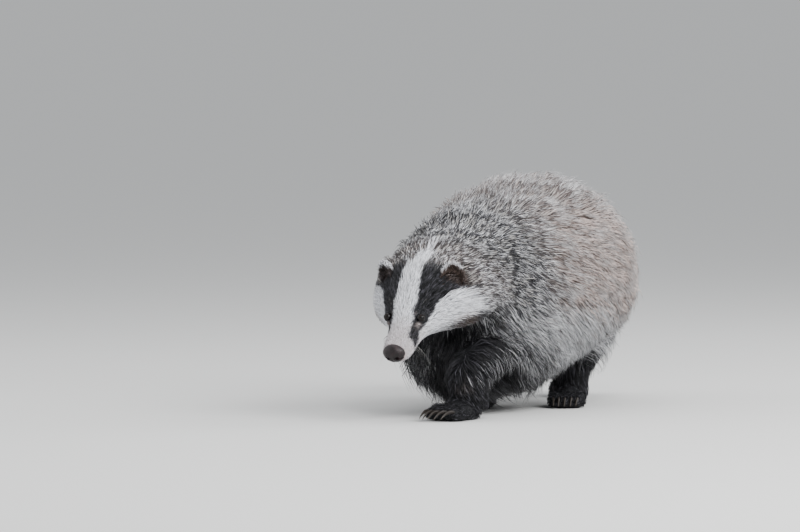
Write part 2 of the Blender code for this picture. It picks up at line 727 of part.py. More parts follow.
def main():
    clear_scene()
    grey = material("coat_grey", COAT_GREY, 0.8)
    black = material("coat_black", COAT_BLACK, 0.75)
    white = material("coat_white", COAT_WHITE, 0.8)
    nose_finish = material("nose_skin", NOSE_BLACK, 0.4)
    eye_finish = material("eye_black", EYE_BLACK, 0.08)
    made = [make_head(white), make_nose(nose_finish), make_tail(grey)]
    made += make_trunk(grey, coat_spaces(black))
    for side in (-1, 1):
        made.append(make_eye(side, eye_finish))
        made.append(make_ear(side, black))
    for name, leg in LEGS.items():
        made.append(make_leg(name, leg, black))
        made.append(make_paw(name, leg, black))
    for obj in made:
        obj.data.transform(Matrix.Translation(STANCE_SHIFT))
        shade(obj)


main()
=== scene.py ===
"""Looks of the life-size badger: one skin with lids, lips and ears, and the coat as fine tufts over it.

Metres, +Z up. The badger faces -Y and its left side is +X. The sizes of the body are those of the
solids, and every shape is made in the solids' own frame and moved by STANCE_SHIFT at the end.
"""

import math

import bmesh
import bpy
import numpy as np
from bpy.props import FloatProperty, FloatVectorProperty, IntProperty, PointerProperty
from mathutils import Matrix, Vector
from mathutils.bvhtree import BVHTree
from mathutils.kdtree import KDTree


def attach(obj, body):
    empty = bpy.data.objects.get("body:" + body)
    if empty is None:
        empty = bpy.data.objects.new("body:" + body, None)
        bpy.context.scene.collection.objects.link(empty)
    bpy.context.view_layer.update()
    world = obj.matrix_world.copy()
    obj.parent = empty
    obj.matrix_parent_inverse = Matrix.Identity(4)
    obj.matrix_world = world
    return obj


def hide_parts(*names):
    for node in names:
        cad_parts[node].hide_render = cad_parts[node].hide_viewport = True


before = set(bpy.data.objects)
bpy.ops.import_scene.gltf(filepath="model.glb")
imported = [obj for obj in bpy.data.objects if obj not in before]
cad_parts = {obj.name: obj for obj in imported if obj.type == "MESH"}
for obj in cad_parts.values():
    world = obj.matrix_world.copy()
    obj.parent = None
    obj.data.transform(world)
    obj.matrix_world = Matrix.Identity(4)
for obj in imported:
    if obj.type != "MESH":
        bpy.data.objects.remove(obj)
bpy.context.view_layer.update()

bl_info = {
    "name": "European badger",
    "version": (1, 0, 0),
    "blender": (4, 5, 0),
    "location": "View3D > Sidebar > Badger",
    "description": "Skin, coat, eyes, nose and claws of a life-size European badger",
    "category": "Add Mesh",
}

# The body's driving sizes, as in the solids
STANCE_SHIFT = np.array([0.0, 0.0575, 0.0])
NOSE_TIP = (-0.412, 0.090)
HEAD_PITCH = 43.0
HEAD_TURN = 4.0
NECK_REAR = -0.222
HEAD_SECTIONS = [  # distance back from the nose, half width, top, bottom, widest line, squareness
    (0.000, 0.0130, 0.0090, 0.0110, 0.000, 2.0),
    (0.006, 0.0180, 0.0130, 0.0160, -0.001, 2.1),
    (0.016, 0.0205, 0.0160, 0.0190, -0.003, 2.2),
    (0.035, 0.0220, 0.0185, 0.0210, -0.005, 2.2),
    (0.052, 0.0265, 0.0235, 0.0240, -0.006, 2.2),
    (0.068, 0.0400, 0.0300, 0.0300, -0.010, 2.1),
    (0.088, 0.0600, 0.0370, 0.0420, -0.020, 1.9),
    (0.110, 0.0770, 0.0430, 0.0560, -0.030, 1.8),
    (0.132, 0.0865, 0.0470, 0.0680, -0.036, 1.75),
    (0.150, 0.0900, 0.0500, 0.0760, -0.038, 1.8),
]
TRUNK_SECTIONS = [  # y, z, pitch, half width, up, down, squareness
    (-0.2480, 0.1700, 24.0, 0.0960, 0.0880, 0.1060, 1.95),
    (-0.2120, 0.1660, 9.0, 0.1020, 0.1040, 0.1280, 2.05),
    (-0.1600, 0.1620, 0.0, 0.1120, 0.1190, 0.1420, 2.15),
    (-0.0850, 0.1600, 0.0, 0.1270, 0.1400, 0.1320, 2.15),
    (-0.0100, 0.1620, 0.0, 0.1370, 0.1490, 0.1160, 2.15),
    (0.0600, 0.1660, 0.0, 0.1390, 0.1520, 0.1050, 2.1),
    (0.1200, 0.1700, 0.0, 0.1300, 0.1370, 0.0970, 2.05),
    (0.1680, 0.1740, 0.0, 0.1110, 0.1110, 0.0880, 2.0),
    (0.2050, 0.1780, 0.0, 0.0840, 0.0780, 0.0760, 2.0),
    (0.2260, 0.1800, 0.0, 0.0460, 0.0440, 0.0440, 2.0),
]
RUMP_END = (0.2350, 0.1800)
CORE_DEPTH = 0.018
RUMP_RINGS = 7
TAIL_ROOT = np.array([0.0, 0.205, 0.200])
TAIL_TIP = np.array([-0.030, 0.296, 0.098])
TAIL_ENTRY = np.array([0.0, -0.030, 0.012])
TAIL_BOW = np.array([0.0, 0.010, 0.006])
LEGS = {
    "front_left": dict(
        top=(0.044, -0.140, 0.150), bend=(0.047, -0.178, 0.102), ankle=(0.040, -0.272, 0.060),
        paw=(0.031, -0.303), heading=-14.0, rear=False),
    "front_right": dict(
        top=(-0.050, -0.120, 0.150), bend=(-0.052, -0.085, 0.105), ankle=(-0.043, -0.032, 0.060),
        paw=(-0.040, -0.054), heading=6.0, rear=False),
    "hind_left": dict(
        top=(0.055, 0.105, 0.150), bend=(0.064, 0.082, 0.104), ankle=(0.067, 0.035, 0.060),
        paw=(0.072, 0.008), heading=16.0, rear=True),
    "hind_right": dict(
        top=(-0.050, 0.110, 0.150), bend=(-0.048, 0.145, 0.106), ankle=(-0.020, 0.258, 0.062),
        paw=(-0.014, 0.236), heading=14.0, rear=True),
}
LEG_RADII = {False: (0.036, 0.034, 0.028), True: (0.044, 0.039, 0.027)}
PAW_LENGTH = {False: 0.078, True: 0.088}
PAW_WIDTH = {False: 0.054, True: 0.045}
CLAW_LENGTH = {False: 0.026, True: 0.016}
TOES = (-0.40, -0.21, 0.0, 0.21, 0.40)  # across the paw, as a share of its width
EYE_PLACE = (0.0575, 0.0245, 0.0150)
EYE_RADIUS = 0.0056
EYE_LOOK = (0.78, -0.42, 0.46)
LID_OPENING = (0.0052, 0.0040)
LID_THICKNESS = 0.0009
EAR_PLACE = (0.1270, 0.0470, 0.0180)
EAR_HALF = (0.0170, 0.0085, 0.0240)
EAR_WALL = 0.0030
NOSE_CENTRE = (0.0045, 0.0, 0.0015)
NOSE_HALF = (0.0150, 0.0105, 0.0112)
MOUTH_ANGLE = 118.0
MOUTH_SPAN = (0.008, 0.058)

# How far the skin lies inside the solids: distance back from the nose, at the top, side and bottom
HEAD_COAT_DEPTH = [
    (0.000, 0.0006, 0.0006, 0.0006),
    (0.016, 0.0015, 0.0015, 0.0016),
    (0.050, 0.0028, 0.0028, 0.0034),
    (0.075, 0.0036, 0.0050, 0.0060),
    (0.100, 0.0045, 0.0085, 0.0095),
    (0.150, 0.0070, 0.0120, 0.0130),
]
NECK_COAT_DEPTH = 0.0100
LEG_COAT_DEPTH = 0.0070
PAW_COAT_DEPTH = 0.0022
SKIN_VOXEL = 0.0022

# Markings of the head, by the distance back from the nose
STRIPE_MIDDLE = [(0.0, 0.0), (0.060, 0.0), (0.077, 0.0008), (0.098, -0.0010), (0.122, -0.0022),
                 (0.1325, -0.0005), (0.145, 0.0075), (0.155, 0.011), (0.170, 0.010), (0.2, 0.006)]
STRIPE_HALF = [(0.0, 0.0150), (0.03, 0.0150), (0.06, 0.0148), (0.078, 0.0168), (0.098, 0.0150),
               (0.122, 0.0145), (0.145, 0.0125), (0.170, 0.0095), (0.198, 0.0)]
# Pale patches beside the eye: (back, out, up), radius and strength
PALE_SPOTS = [((0.0490, 0.0225, 0.0100), 0.0036, 0.65), ((0.0600, 0.0185, 0.0210), 0.0024, 0.45)]
# Edges round the side of the head, as the distance out less the height over the head's axis
MASK_OUTER = [(0.022, 0.031), (0.036, 0.028), (0.046, 0.0225), (0.060, 0.026), (0.090, 0.0265),
              (0.105, 0.034), (0.120, 0.050), (0.130, 0.072), (0.140, 0.100)]
CHEEK_LOWER = [(0.010, 0.030), (0.030, 0.040), (0.050, 0.049), (0.071, 0.060), (0.083, 0.075),
               (0.0995, 0.094), (0.118, 0.112), (0.130, 0.128), (0.140, 0.142), (0.150, 0.150), (0.165, 0.160)]
# Where the black of the underside starts, in degrees from the top of the back, by y
UNDERSIDE = [(-0.36, 100.0), (-0.30, 112.0), (-0.25, 120.0), (-0.22, 122.0), (-0.15, 128.0), (-0.10, 134.0),
             (-0.06, 136.0), (0.00, 130.0), (0.04, 119.0), (0.20, 110.0)]

PHOTO_SIZE = (800, 532)
PHOTO_SCALE = 725.0  # pixels for one metre at the badger
CAMERA_AZIMUTH = 22.5
CAMERA_HEIGHT_ANGLE = 2.5
CAMERA_DISTANCE = 9.0
CAMERA_SENSOR = 36.0
LOOK_AT_HEIGHT = 0.165
LOOK_AT_PIXEL = (517.0, 286.5)  # where that height over the stance's middle shows in the photo's frame

FLESH = ("head", "neck", "torso", "tail", "ear_left", "ear_right") + tuple(
    f"{part}_{leg}" for leg in LEGS for part in ("leg", "paw"))


class BadgerCoat(bpy.types.PropertyGroup):
    body_tufts: IntProperty(
        name="Body tufts", description="Number of tufts on the neck and torso", default=76000, min=1000)
    head_tufts: IntProperty(
        name="Head tufts", description="Number of tufts on the head", default=31000, min=1000)
    leg_tufts: IntProperty(
        name="Leg tufts", description="Number of tufts on all the legs", default=17000, min=500)
    tail_tufts: IntProperty(
        name="Tail tufts", description="Number of tufts on the tail", default=3800, min=200)
    guard_tufts: IntProperty(
        name="Guard hairs", description="Number of long white-tipped hairs over the shoulders and flanks",
        default=13500, min=100)
    body_length: FloatProperty(
        name="Back length", description="Length of the guard hair on the back", default=0.058,
        subtype="DISTANCE", unit="LENGTH")
    fringe_length: FloatProperty(
        name="Fringe length", description="Length of the hair that hangs from the flanks", default=0.070,
        subtype="DISTANCE", unit="LENGTH")
    body_width: FloatProperty(
        name="Tuft width", description="Width of a tuft of the body", default=0.0014,
        subtype="DISTANCE", unit="LENGTH")
    seed: IntProperty(name="Seed", description="Start of the random draws", default=7)


class BadgerColours(bpy.types.PropertyGroup):
    # Partly the undercoat's own tone and partly painted shade: the roots are kept dark so the gaps between the clumps
    # look shaded.
    underfur_and_gap_shade: FloatVectorProperty(
        name="Underfur", description="Colour at the roots of the grey coat", subtype="COLOR", size=3,
        default=(0.20, 0.185, 0.175))
    cream: FloatVectorProperty(
        name="Cream", description="Pale lower length of a grey guard hair", subtype="COLOR", size=3,
        default=(0.50, 0.485, 0.47))
    band: FloatVectorProperty(
        name="Dark band", description="Band below the tip of a grey guard hair", subtype="COLOR", size=3,
        default=(0.035, 0.034, 0.040))
    tip: FloatVectorProperty(
        name="Pale tip", description="Tip of a grey guard hair", subtype="COLOR", size=3,
        default=(0.82, 0.825, 0.85))
    beige: FloatVectorProperty(
        name="Beige", description="Warm tone of the hips and rear flanks", subtype="COLOR", size=3,
        default=(0.70, 0.575, 0.53))
    brown: FloatVectorProperty(
        name="Brown", description="Warm tone of the ears, the muzzle's stripes and the wrists", subtype="COLOR",
        size=3, default=(0.16, 0.105, 0.08))
    black: FloatVectorProperty(
        name="Black", description="Legs, throat and face stripes", subtype="COLOR", size=3,
        default=(0.010, 0.0102, 0.0120))
    white: FloatVectorProperty(
        name="White", description="Face and cheeks", subtype="COLOR", size=3,
        default=(0.93, 0.935, 0.96))
    bare: FloatVectorProperty(
        name="Bare skin", description="Skin round the nose and the eyes", subtype="COLOR", size=3,
        default=(0.50, 0.41, 0.41))


def smooth_step(low, high, values):
    share = np.clip((values - low) / (high - low), 0.0, 1.0)
    return share * share * (3 - 2 * share)


def unit(vectors):
    return vectors / np.maximum(np.linalg.norm(vectors, axis=-1, keepdims=True), 1e-12)


def table(rows, places):
    """The second column of rows at the given first-column places."""
    rows = np.array(rows)
    return np.interp(places, rows[:, 0], rows[:, 1])


def ripple(points, size, seed=0.0):
    """A smooth, irregular value between about -1 and 1 over space."""
    p = points / size
    x, y, z = p[..., 0] + seed, p[..., 1] - 2.0 * seed, p[..., 2] + 0.7 * seed
    return (
        np.sin(x * 1.7 + 1.3 * np.sin(y * 1.1 + z)) + np.sin(y * 2.3 + 1.7 * np.sin(z * 1.3 - x))
        + np.sin(z * 2.9 + 1.1 * np.sin(x * 1.9 + y))) / 2.2


def follow(rows, places):
    """Every column of rows at the given first-column places, on a smooth curve through the rows."""
    rows = np.array(rows, float)
    stations = rows[:, 0]
    slopes = np.gradient(rows, stations, axis=0)
    places = np.atleast_1d(np.array(places, float))
    i = np.clip(np.searchsorted(stations, places) - 1, 0, len(stations) - 2)
    step = (stations[i + 1] - stations[i])[:, None]
    t = (places - stations[i])[:, None] / step
    return (
        (2 * t**3 - 3 * t**2 + 1) * rows[i]
        + (t**3 - 2 * t**2 + t) * step * slopes[i]
        + (3 * t**2 - 2 * t**3) * rows[i + 1]
        + (t**3 - t**2) * step * slopes[i + 1]
    )


def outline(angles, half_width, up, down, squareness):
    """(across, height) of a section. Angle 0 is its top, and it runs round by the left side."""
    power = 2.0 / squareness
    c, s = np.cos(angles), np.sin(angles)
    across = half_width * np.sign(s) * np.abs(s) ** power
    height = np.where(c > 0, up, down) * np.sign(c) * np.abs(c) ** power
    return across, height


def head_turn(share=1.0):
    pivot = Matrix.Translation((0.0, NECK_REAR, 0.0))
    return pivot @ Matrix.Rotation(-math.radians(HEAD_TURN) * share, 4, "Z") @ pivot.inverted()


def head_frame():
    """Turns head space, x to the left, y back along the head's axis, z up from it, into the body's."""
    nose = Matrix.Translation((0.0, *NOSE_TIP))
    return head_turn() @ nose @ Matrix.Rotation(math.radians(HEAD_PITCH), 4, "X")


HEAD = np.array(head_frame())
HEAD_INVERSE = np.linalg.inv(HEAD)


def from_head(points):
    """Points given as (out, back, up) in head space, in the body's frame."""
    return np.asarray(points) @ HEAD[:3, :3].T + HEAD[:3, 3]


def to_head(points):
    return points @ HEAD_INVERSE[:3, :3].T + HEAD_INVERSE[:3, 3]


def trunk_stations():
    """The stations of the neck and torso, starting on the back of the head."""
    back, half_width, top, bottom, widest, squareness = HEAD_SECTIONS[-1]
    middle = head_turn().inverted() @ Vector(from_head((0.0, back, widest)))
    junction = (middle.y, middle.z, HEAD_PITCH, half_width, top - widest, bottom + widest, squareness)
    return [junction] + TRUNK_SECTIONS


def head_grid(rings, columns):
    """The head's skin as rows of points, from the nose to the back of the skull."""
    angles = np.arange(columns) * 2 * math.pi / columns
    places = 0.1505 * np.linspace(0.0, 1.0, rings) ** 1.25
    depths = follow(HEAD_COAT_DEPTH, places)[:, 1:]
    rows = []
    for section, (top, side, bottom) in zip(follow(HEAD_SECTIONS, places), depths):
        back, half_width, up, down, widest, squareness = section
        across, height = outline(
            angles, half_width - side, up - widest - top, down + widest - bottom, squareness)
        rows.append(from_head(np.stack([across, np.full_like(across, back), height + widest], axis=1)))
    return np.array(rows)


def skin_depth(y):
    start = trunk_stations()[0][0]
    return NECK_COAT_DEPTH + (CORE_DEPTH - NECK_COAT_DEPTH) * smooth_step(start, start + 0.060, y)


def trunk_grid(rings, columns):
    """The skin of the neck and torso, from the back of the head to the rounded end of the rump."""
    angles = np.arange(columns) * 2 * math.pi / columns
    start, end = trunk_stations()[0][0] - 0.004, TRUNK_SECTIONS[-1][0] - CORE_DEPTH
    rows = []
    closing = np.linspace(0.0, 1.0, RUMP_RINGS + 1)[1:] * math.radians(82.0)
    rings -= RUMP_RINGS
    for y, z, pitch, half_width, up, down, squareness in follow(trunk_stations(), np.linspace(start, end, rings)):
        depth = float(skin_depth(np.array(y)))
        across, height = outline(angles, half_width - depth, up - depth, down - depth, squareness)
        tilt = math.radians(pitch)
        points = np.stack([across, y - math.sin(tilt) * height, z + math.cos(tilt) * height], axis=1)
        share = min(1.0, max(0.0, (NECK_REAR - y) / (NECK_REAR - start)))
        turn = np.array(head_turn(share))
        rows.append(points @ turn[:3, :3].T + turn[:3, 3])
    pole = np.array([0.0, RUMP_END[0] - CORE_DEPTH, RUMP_END[1]])
    last = rows[-1]
    middle = np.array([0.0, end, RUMP_END[1]])
    for angle in closing:
        rows.append(middle + (last - middle) * math.cos(angle) + (pole - middle) * math.sin(angle))
    return np.array(rows)


def limb_grid(path, radii, rings, columns):
    """Rings square to a smooth path, from (across, along) radii."""
    rows = [(i, *p, *r) for i, (p, r) in enumerate(zip(path, radii))]
    values = follow(rows, np.linspace(0, len(path) - 1, rings))
    middles = values[:, 1:4]
    tangents = unit(np.gradient(middles, axis=0))
    angles = np.arange(columns) * 2 * math.pi / columns
    made = []
    for middle, tangent, (wide, deep) in zip(middles, tangents, values[:, 4:6]):
        side = unit(np.array([1.0, 0.0, 0.0]) - tangent[0] * tangent)
        other = np.cross(tangent, side)
        made.append(middle + np.outer(np.cos(angles) * wide, side) + np.outer(np.sin(angles) * deep, other))
    return np.array(made)


def ball_grid(place, radii, rings, columns):
    """An ellipsoid as rings from one pole to the other. Place is a 4 by 4 matrix."""
    place = np.array(place)
    polar = np.linspace(0.06, math.pi - 0.06, rings)[:, None]
    around = np.arange(columns)[None, :] * 2 * math.pi / columns
    local = np.stack(np.broadcast_arrays(
        radii[0] * np.sin(polar) * np.cos(around), radii[1] * np.sin(polar) * np.sin(around),
        radii[2] * np.cos(polar)), axis=-1)
    return local @ place[:3, :3].T + place[:3, 3]


def leg_grid(leg, rings=40, columns=28):
    shoulder, bend, ankle = (r - LEG_COAT_DEPTH for r in LEG_RADII[leg["rear"]])
    ankle += 0.5 * (LEG_COAT_DEPTH - PAW_COAT_DEPTH)
    foot = (leg["ankle"][0], leg["ankle"][1], 0.014)
    path = [leg["top"], leg["bend"], leg["ankle"], foot]
    radii = [(shoulder, shoulder * 1.1), (bend, bend * 1.05), (ankle, ankle * 1.1), (ankle * 0.95, ankle)]
    return limb_grid(path, radii, rings, columns)


def paw_frame(leg):
    x, y = leg["paw"]
    return Matrix.Translation((x, y, 0.0)) @ Matrix.Rotation(math.radians(leg["heading"]), 4, "Z")


def toe_frames(leg):
    long, wide = PAW_LENGTH[leg["rear"]], PAW_WIDTH[leg["rear"]]
    return [
        paw_frame(leg) @ Matrix.Translation((wide * across, -long * (0.36 - 0.42 * across * across), 0.0))
        @ Matrix.Rotation(across * -0.30, 4, "Z") for across in TOES]


def paw_grids(leg):
    """The sole and the five toes of a paw, each with its knuckle."""
    long, wide = PAW_LENGTH[leg["rear"]], PAW_WIDTH[leg["rear"]]
    inner = PAW_COAT_DEPTH
    sole = paw_frame(leg) @ Matrix.Translation((0.0, 0.012, 0.0095))
    grids = [ball_grid(sole, (wide * 0.44 - inner, long * 0.44 - inner, 0.022 - inner), 20, 28)]
    for toe in toe_frames(leg):
        place = toe @ Matrix.Translation((0.0, 0.0, 0.0085))
        grids.append(ball_grid(place, (0.0070 - 0.0008, 0.0150 - inner, 0.0100 - 0.0015), 14, 16))
        knuckle = toe @ Matrix.Translation((0.0, 0.013, 0.0125))
        grids.append(ball_grid(knuckle, (0.0062, 0.0140, 0.0095), 12, 14))
    return grids


def tail_grid(rings=30, columns=20):
    axis = TAIL_TIP - TAIL_ROOT
    path = [TAIL_ROOT + TAIL_ENTRY, TAIL_ROOT + 0.25 * axis + TAIL_BOW, TAIL_ROOT + 0.6 * axis + TAIL_BOW,
            TAIL_ROOT + 0.88 * axis]
    radii = [(0.015, 0.013), (0.014, 0.012), (0.010, 0.009), (0.004, 0.004)]
    return limb_grid(path, radii, rings, columns)


def ear_frame(side):
    """The ear leans back and out, with its cup to the front and the side."""
    turn = (
        head_frame().to_3x3().to_4x4() @ Matrix.Rotation(side * math.radians(21.0), 4, "Y")
        @ Matrix.Rotation(side * math.radians(28.0), 4, "Z") @ Matrix.Rotation(math.radians(-30.0), 4, "X"))
    centre = from_head((side * EAR_PLACE[1], EAR_PLACE[0], EAR_PLACE[2]))
    return Matrix.Translation(centre) @ turn


def eye_frame(side):
    """The eye's own space: x level across it, y up its opening, z out of the head."""
    look = Vector((side * EYE_LOOK[0], EYE_LOOK[1], EYE_LOOK[2])).normalized()
    looks = head_frame().to_3x3() @ look
    back, out, up = EYE_PLACE
    centre = Vector(from_head((side * out, back, up)))
    return Matrix.Translation(centre) @ looks.to_track_quat("Z", "Y").to_matrix().to_4x4()


def new_object(name, mesh):
    obj = bpy.data.objects.new(name, mesh)
    bpy.context.scene.collection.objects.link(obj)
    return obj


def grid_parts(grid, first=None, last=None):
    """Points and faces of a closed skin over a grid of rings."""
    rings, columns = grid.shape[:2]
    points = list(grid.reshape(-1, 3))
    points += [grid[0].mean(axis=0) if first is None else first, grid[-1].mean(axis=0) if last is None else last]
    faces = []
    for r in range(rings - 1):
        for c in range(columns):
            here, beside = r * columns + c, r * columns + (c + 1) % columns
            faces.append((here, beside, beside + columns, here + columns))
    start = (rings - 1) * columns
    for c in range(columns):
        faces.append((c, (c + 1) % columns, len(points) - 2))
        faces.append((start + c, start + (c + 1) % columns, len(points) - 1))
    return points, faces


def closed_mesh(name, grids):
    """One mesh of closed skins, each facing out."""
    points, faces = [], []
    for grid in grids:
        some, their = grid_parts(grid)
        faces += [tuple(i + len(points) for i in face) for face in their]
        points += some
    mesh = bpy.data.meshes.new(name)
    mesh.from_pydata([tuple(p) for p in points], [], faces)
    work = bmesh.new()
    work.from_mesh(mesh)
    bmesh.ops.recalc_face_normals(work, faces=work.faces)
    work.to_mesh(mesh)
    work.free()
    return mesh


def remeshed(mesh, voxel):
    """The outer surface of overlapping closed skins as one mesh."""
    obj = new_object("remesh", mesh)
    step = obj.modifiers.new("voxels", "REMESH")
    step.mode = "VOXEL"
    step.voxel_size = voxel
    graph = bpy.context.evaluated_depsgraph_get()
    made = bpy.data.meshes.new_from_object(obj.evaluated_get(graph))
    bpy.data.objects.remove(obj)
    return made


def read_points(mesh):
    points = np.empty(len(mesh.vertices) * 3)
    mesh.vertices.foreach_get("co", points)
    return points.reshape(-1, 3)


def write_points(mesh, points):
    mesh.vertices.foreach_set("co", points.ravel())
    mesh.update()


def relax(mesh, points, rounds, share):
    """Evens the surface by moving each point towards its neighbours' mean, by its own share."""
    edges = np.empty(len(mesh.edges) * 2, dtype=np.int64)
    mesh.edges.foreach_get("vertices", edges)
    edges = edges.reshape(-1, 2)
    count = np.bincount(edges.ravel(), minlength=len(points))[:, None]
    for _ in range(rounds):
        total = np.zeros_like(points)
        for axis in range(3):
            total[:, axis] = (
                np.bincount(edges[:, 0], points[edges[:, 1], axis], len(points))
                + np.bincount(edges[:, 1], points[edges[:, 0], axis], len(points)))
        points = points + (total / np.maximum(count, 1) - points) * share
    return points


def refine(mesh, wanted):
    """Halves the edges between the points that wanted marks."""
    work = bmesh.new()
    work.from_mesh(mesh)
    work.verts.ensure_lookup_table()
    edges = [edge for edge in work.edges if wanted[edge.verts[0].index] and wanted[edge.verts[1].index]]
    bmesh.ops.subdivide_edges(work, edges=edges, cuts=1, use_grid_fill=True)
    work.to_mesh(mesh)
    work.free()


def on_head(points):
    out, back, up = to_head(points).T
    return (back < 0.150) & (up > -0.085)


def near_features(points, reach):
    """Which points lie near an eye, the nose or the mouth."""
    out, back, up = to_head(points).T
    near = np.zeros(len(points), bool)
    for side in (-1, 1):
        place = np.array(eye_frame(side))[:3, 3]
        near |= np.linalg.norm(points - place, axis=1) < 0.018 * reach
    return near | ((back < 0.030 * reach) & (up > -0.05))


def mouth_distance(points):
    """How far points lie below the line of the mouth round the muzzle, and a 0 to 1 share along it."""
    out, back, up = to_head(points).T
    rows = follow(HEAD_SECTIONS, np.clip(back, 0.0, 0.15))
    half_width, top, bottom, widest, squareness = rows[:, 1:].T
    power = squareness / 2.0
    height = up - widest
    tall = np.where(height > 0, top - widest, bottom + widest)
    c = np.sign(height) * np.abs(height / tall) ** power
    s = np.abs(out / half_width) ** power
    angle = np.degrees(np.arctan2(s, c))
    along = (back - MOUTH_SPAN[0]) / (MOUTH_SPAN[1] - MOUTH_SPAN[0])
    share = smooth_step(-0.12, 0.10, along) * (1.0 - smooth_step(0.85, 1.05, along)) * (up > -0.06)
    return np.radians(angle - MOUTH_ANGLE) * 0.5 * (half_width + tall), share


def sculpt_mouth(points, normals):
    """Presses in the line of the mouth and rolls the lips beside it."""
    below, share = mouth_distance(points)
    groove = -0.0016 * np.exp(-(below / 0.0009) ** 2)
    lips = 0.0007 * np.exp(-((np.abs(below) - 0.0024) / 0.0013) ** 2)
    return points + normals * ((groove + lips) * share)[:, None]


def sculpt_lids(points, side):
    """Draws the skin over the eyeball as lids, and down behind the ball in the opening."""
    place = np.array(eye_frame(side))
    local = (points - place[:3, 3]) @ place[:3, :3]
    u, v, w = local.T
    reach = np.hypot(u / LID_OPENING[0], v / LID_OPENING[1])
    ball = np.sqrt(np.maximum(EYE_RADIUS**2 - u * u - v * v, 0.0))
    lid = ball + LID_THICKNESS * smooth_step(0.96, 1.12, reach)
    crease = -0.0006 * np.exp(-((reach - 1.75) / 0.16) ** 2) * (0.4 + 0.6 * (v > 0))
    share = (1.0 - smooth_step(1.5, 3.0, reach)) * (w > -0.004)
    height = np.where(reach < 0.96, -0.0020, lid)
    w = w + (height - w) * share + crease * (w > -0.004) * (reach > 1.2)
    moved = np.stack([u, v, w], axis=1) @ place[:3, :3].T + place[:3, 3]
    near = (reach < 3.0) & (np.abs(local[:, 2]) < 0.02)
    return np.where(near[:, None], moved, points)


def ear_mesh(side):
    """The cupped shell of an ear with a rounded rim."""
    place = ear_frame(side)
    wide, deep, high = EAR_HALF
    shell = new_object("shell", closed_mesh("shell", [ball_grid(place, (wide - 0.001, deep, high - 0.001), 40, 48)]))
    cup_place = place @ Matrix.Translation((0.0, -0.55 * deep, 0.0010))
    cup = new_object("cup", closed_mesh(
        "cup", [ball_grid(cup_place, (wide - EAR_WALL, deep * 1.05, high - EAR_WALL), 36, 44)]))
    cut = shell.modifiers.new("cup", "BOOLEAN")
    cut.operation, cut.object, cut.solver = "DIFFERENCE", cup, "MANIFOLD"
    graph = bpy.context.evaluated_depsgraph_get()
    mesh = bpy.data.meshes.new_from_object(shell.evaluated_get(graph))
    bpy.data.objects.remove(shell)
    bpy.data.objects.remove(cup)
    mesh = remeshed(mesh, 0.0010)
    write_points(mesh, relax(mesh, read_points(mesh), 3, 0.5))
    return mesh


def united(body, others):
    """Body fused with the closed meshes of the others."""
    obj = new_object("body", body)
    pieces = [new_object("piece", other) for other in others]
    group = bpy.data.collections.new("pieces")
    for piece in pieces:
        group.objects.link(piece)
    step = obj.modifiers.new("union", "BOOLEAN")
    step.operation, step.operand_type, step.collection, step.solver = "UNION", "COLLECTION", group, "MANIFOLD"
    graph = bpy.context.evaluated_depsgraph_get()
    made = bpy.data.meshes.new_from_object(obj.evaluated_get(graph))
    for piece in pieces + [obj]:
        bpy.data.objects.remove(piece)
    bpy.data.collections.remove(group)
    return made


def point_normals(mesh):
    normals = np.empty(len(mesh.vertices) * 3)
    mesh.vertices.foreach_get("normal", normals)
    return normals.reshape(-1, 3)


def body_grids():
    """The grids of the body's skin by region: each a list of grids."""
    grids = {"head": [head_grid(70, 72)], "trunk": [trunk_grid(110, 96)], "tail": [tail_grid()]}
    grids["legs"] = [leg_grid(leg) for leg in LEGS.values()]
    grids["paws"] = [grid for leg in LEGS.values() for grid in paw_grids(leg)]
    return grids


def build_skin_mesh():
    """One closed skin with lids, lips and ears."""
    every = [grid for some in body_grids().values() for grid in some]
    mesh = remeshed(closed_mesh("blocks", every), SKIN_VOXEL)
    points = read_points(mesh)
    calm = np.where(on_head(points), 0.35, 0.6)[:, None] * np.where(points[:, 2] < 0.03, 0.5, 1.0)[:, None]
    points = relax(mesh, points, 8, calm)
    points[:, 2] = np.maximum(points[:, 2], 0.0004)
    write_points(mesh, points)
    mesh = united(mesh, [ear_mesh(side) for side in (-1, 1)])
    refine(mesh, on_head(read_points(mesh)) & ~near_ears(read_points(mesh)))
    refine(mesh, near_features(read_points(mesh), 1.0))
    points = read_points(mesh)
    points = relax(mesh, points, 3, 0.5 * on_head(points)[:, None] * ~near_ears(points)[:, None])
    write_points(mesh, points)
    points = sculpt_mouth(points, point_normals(mesh))
    for side in (-1, 1):
        points = sculpt_lids(points, side)
    write_points(mesh, points)
    return mesh


def near_ears(points, reach=1.05):
    near = np.zeros(len(points), bool)
    for side in (-1, 1):
        place = np.array(ear_frame(side))
        local = (points - place[:3, 3]) @ place[:3, :3] / (np.array(EAR_HALF) + 0.003)
        near |= np.linalg.norm(local, axis=1) < reach
    return near


def trunk_angle(points):
    """Degrees from the top of the back round to the belly, with the spine in the middle."""
    stations = np.array(trunk_stations())
    middle = np.interp(points[:, 1], stations[:, 0], stations[:, 1])
    return np.degrees(np.arctan2(np.abs(points[:, 0]), points[:, 2] - middle))


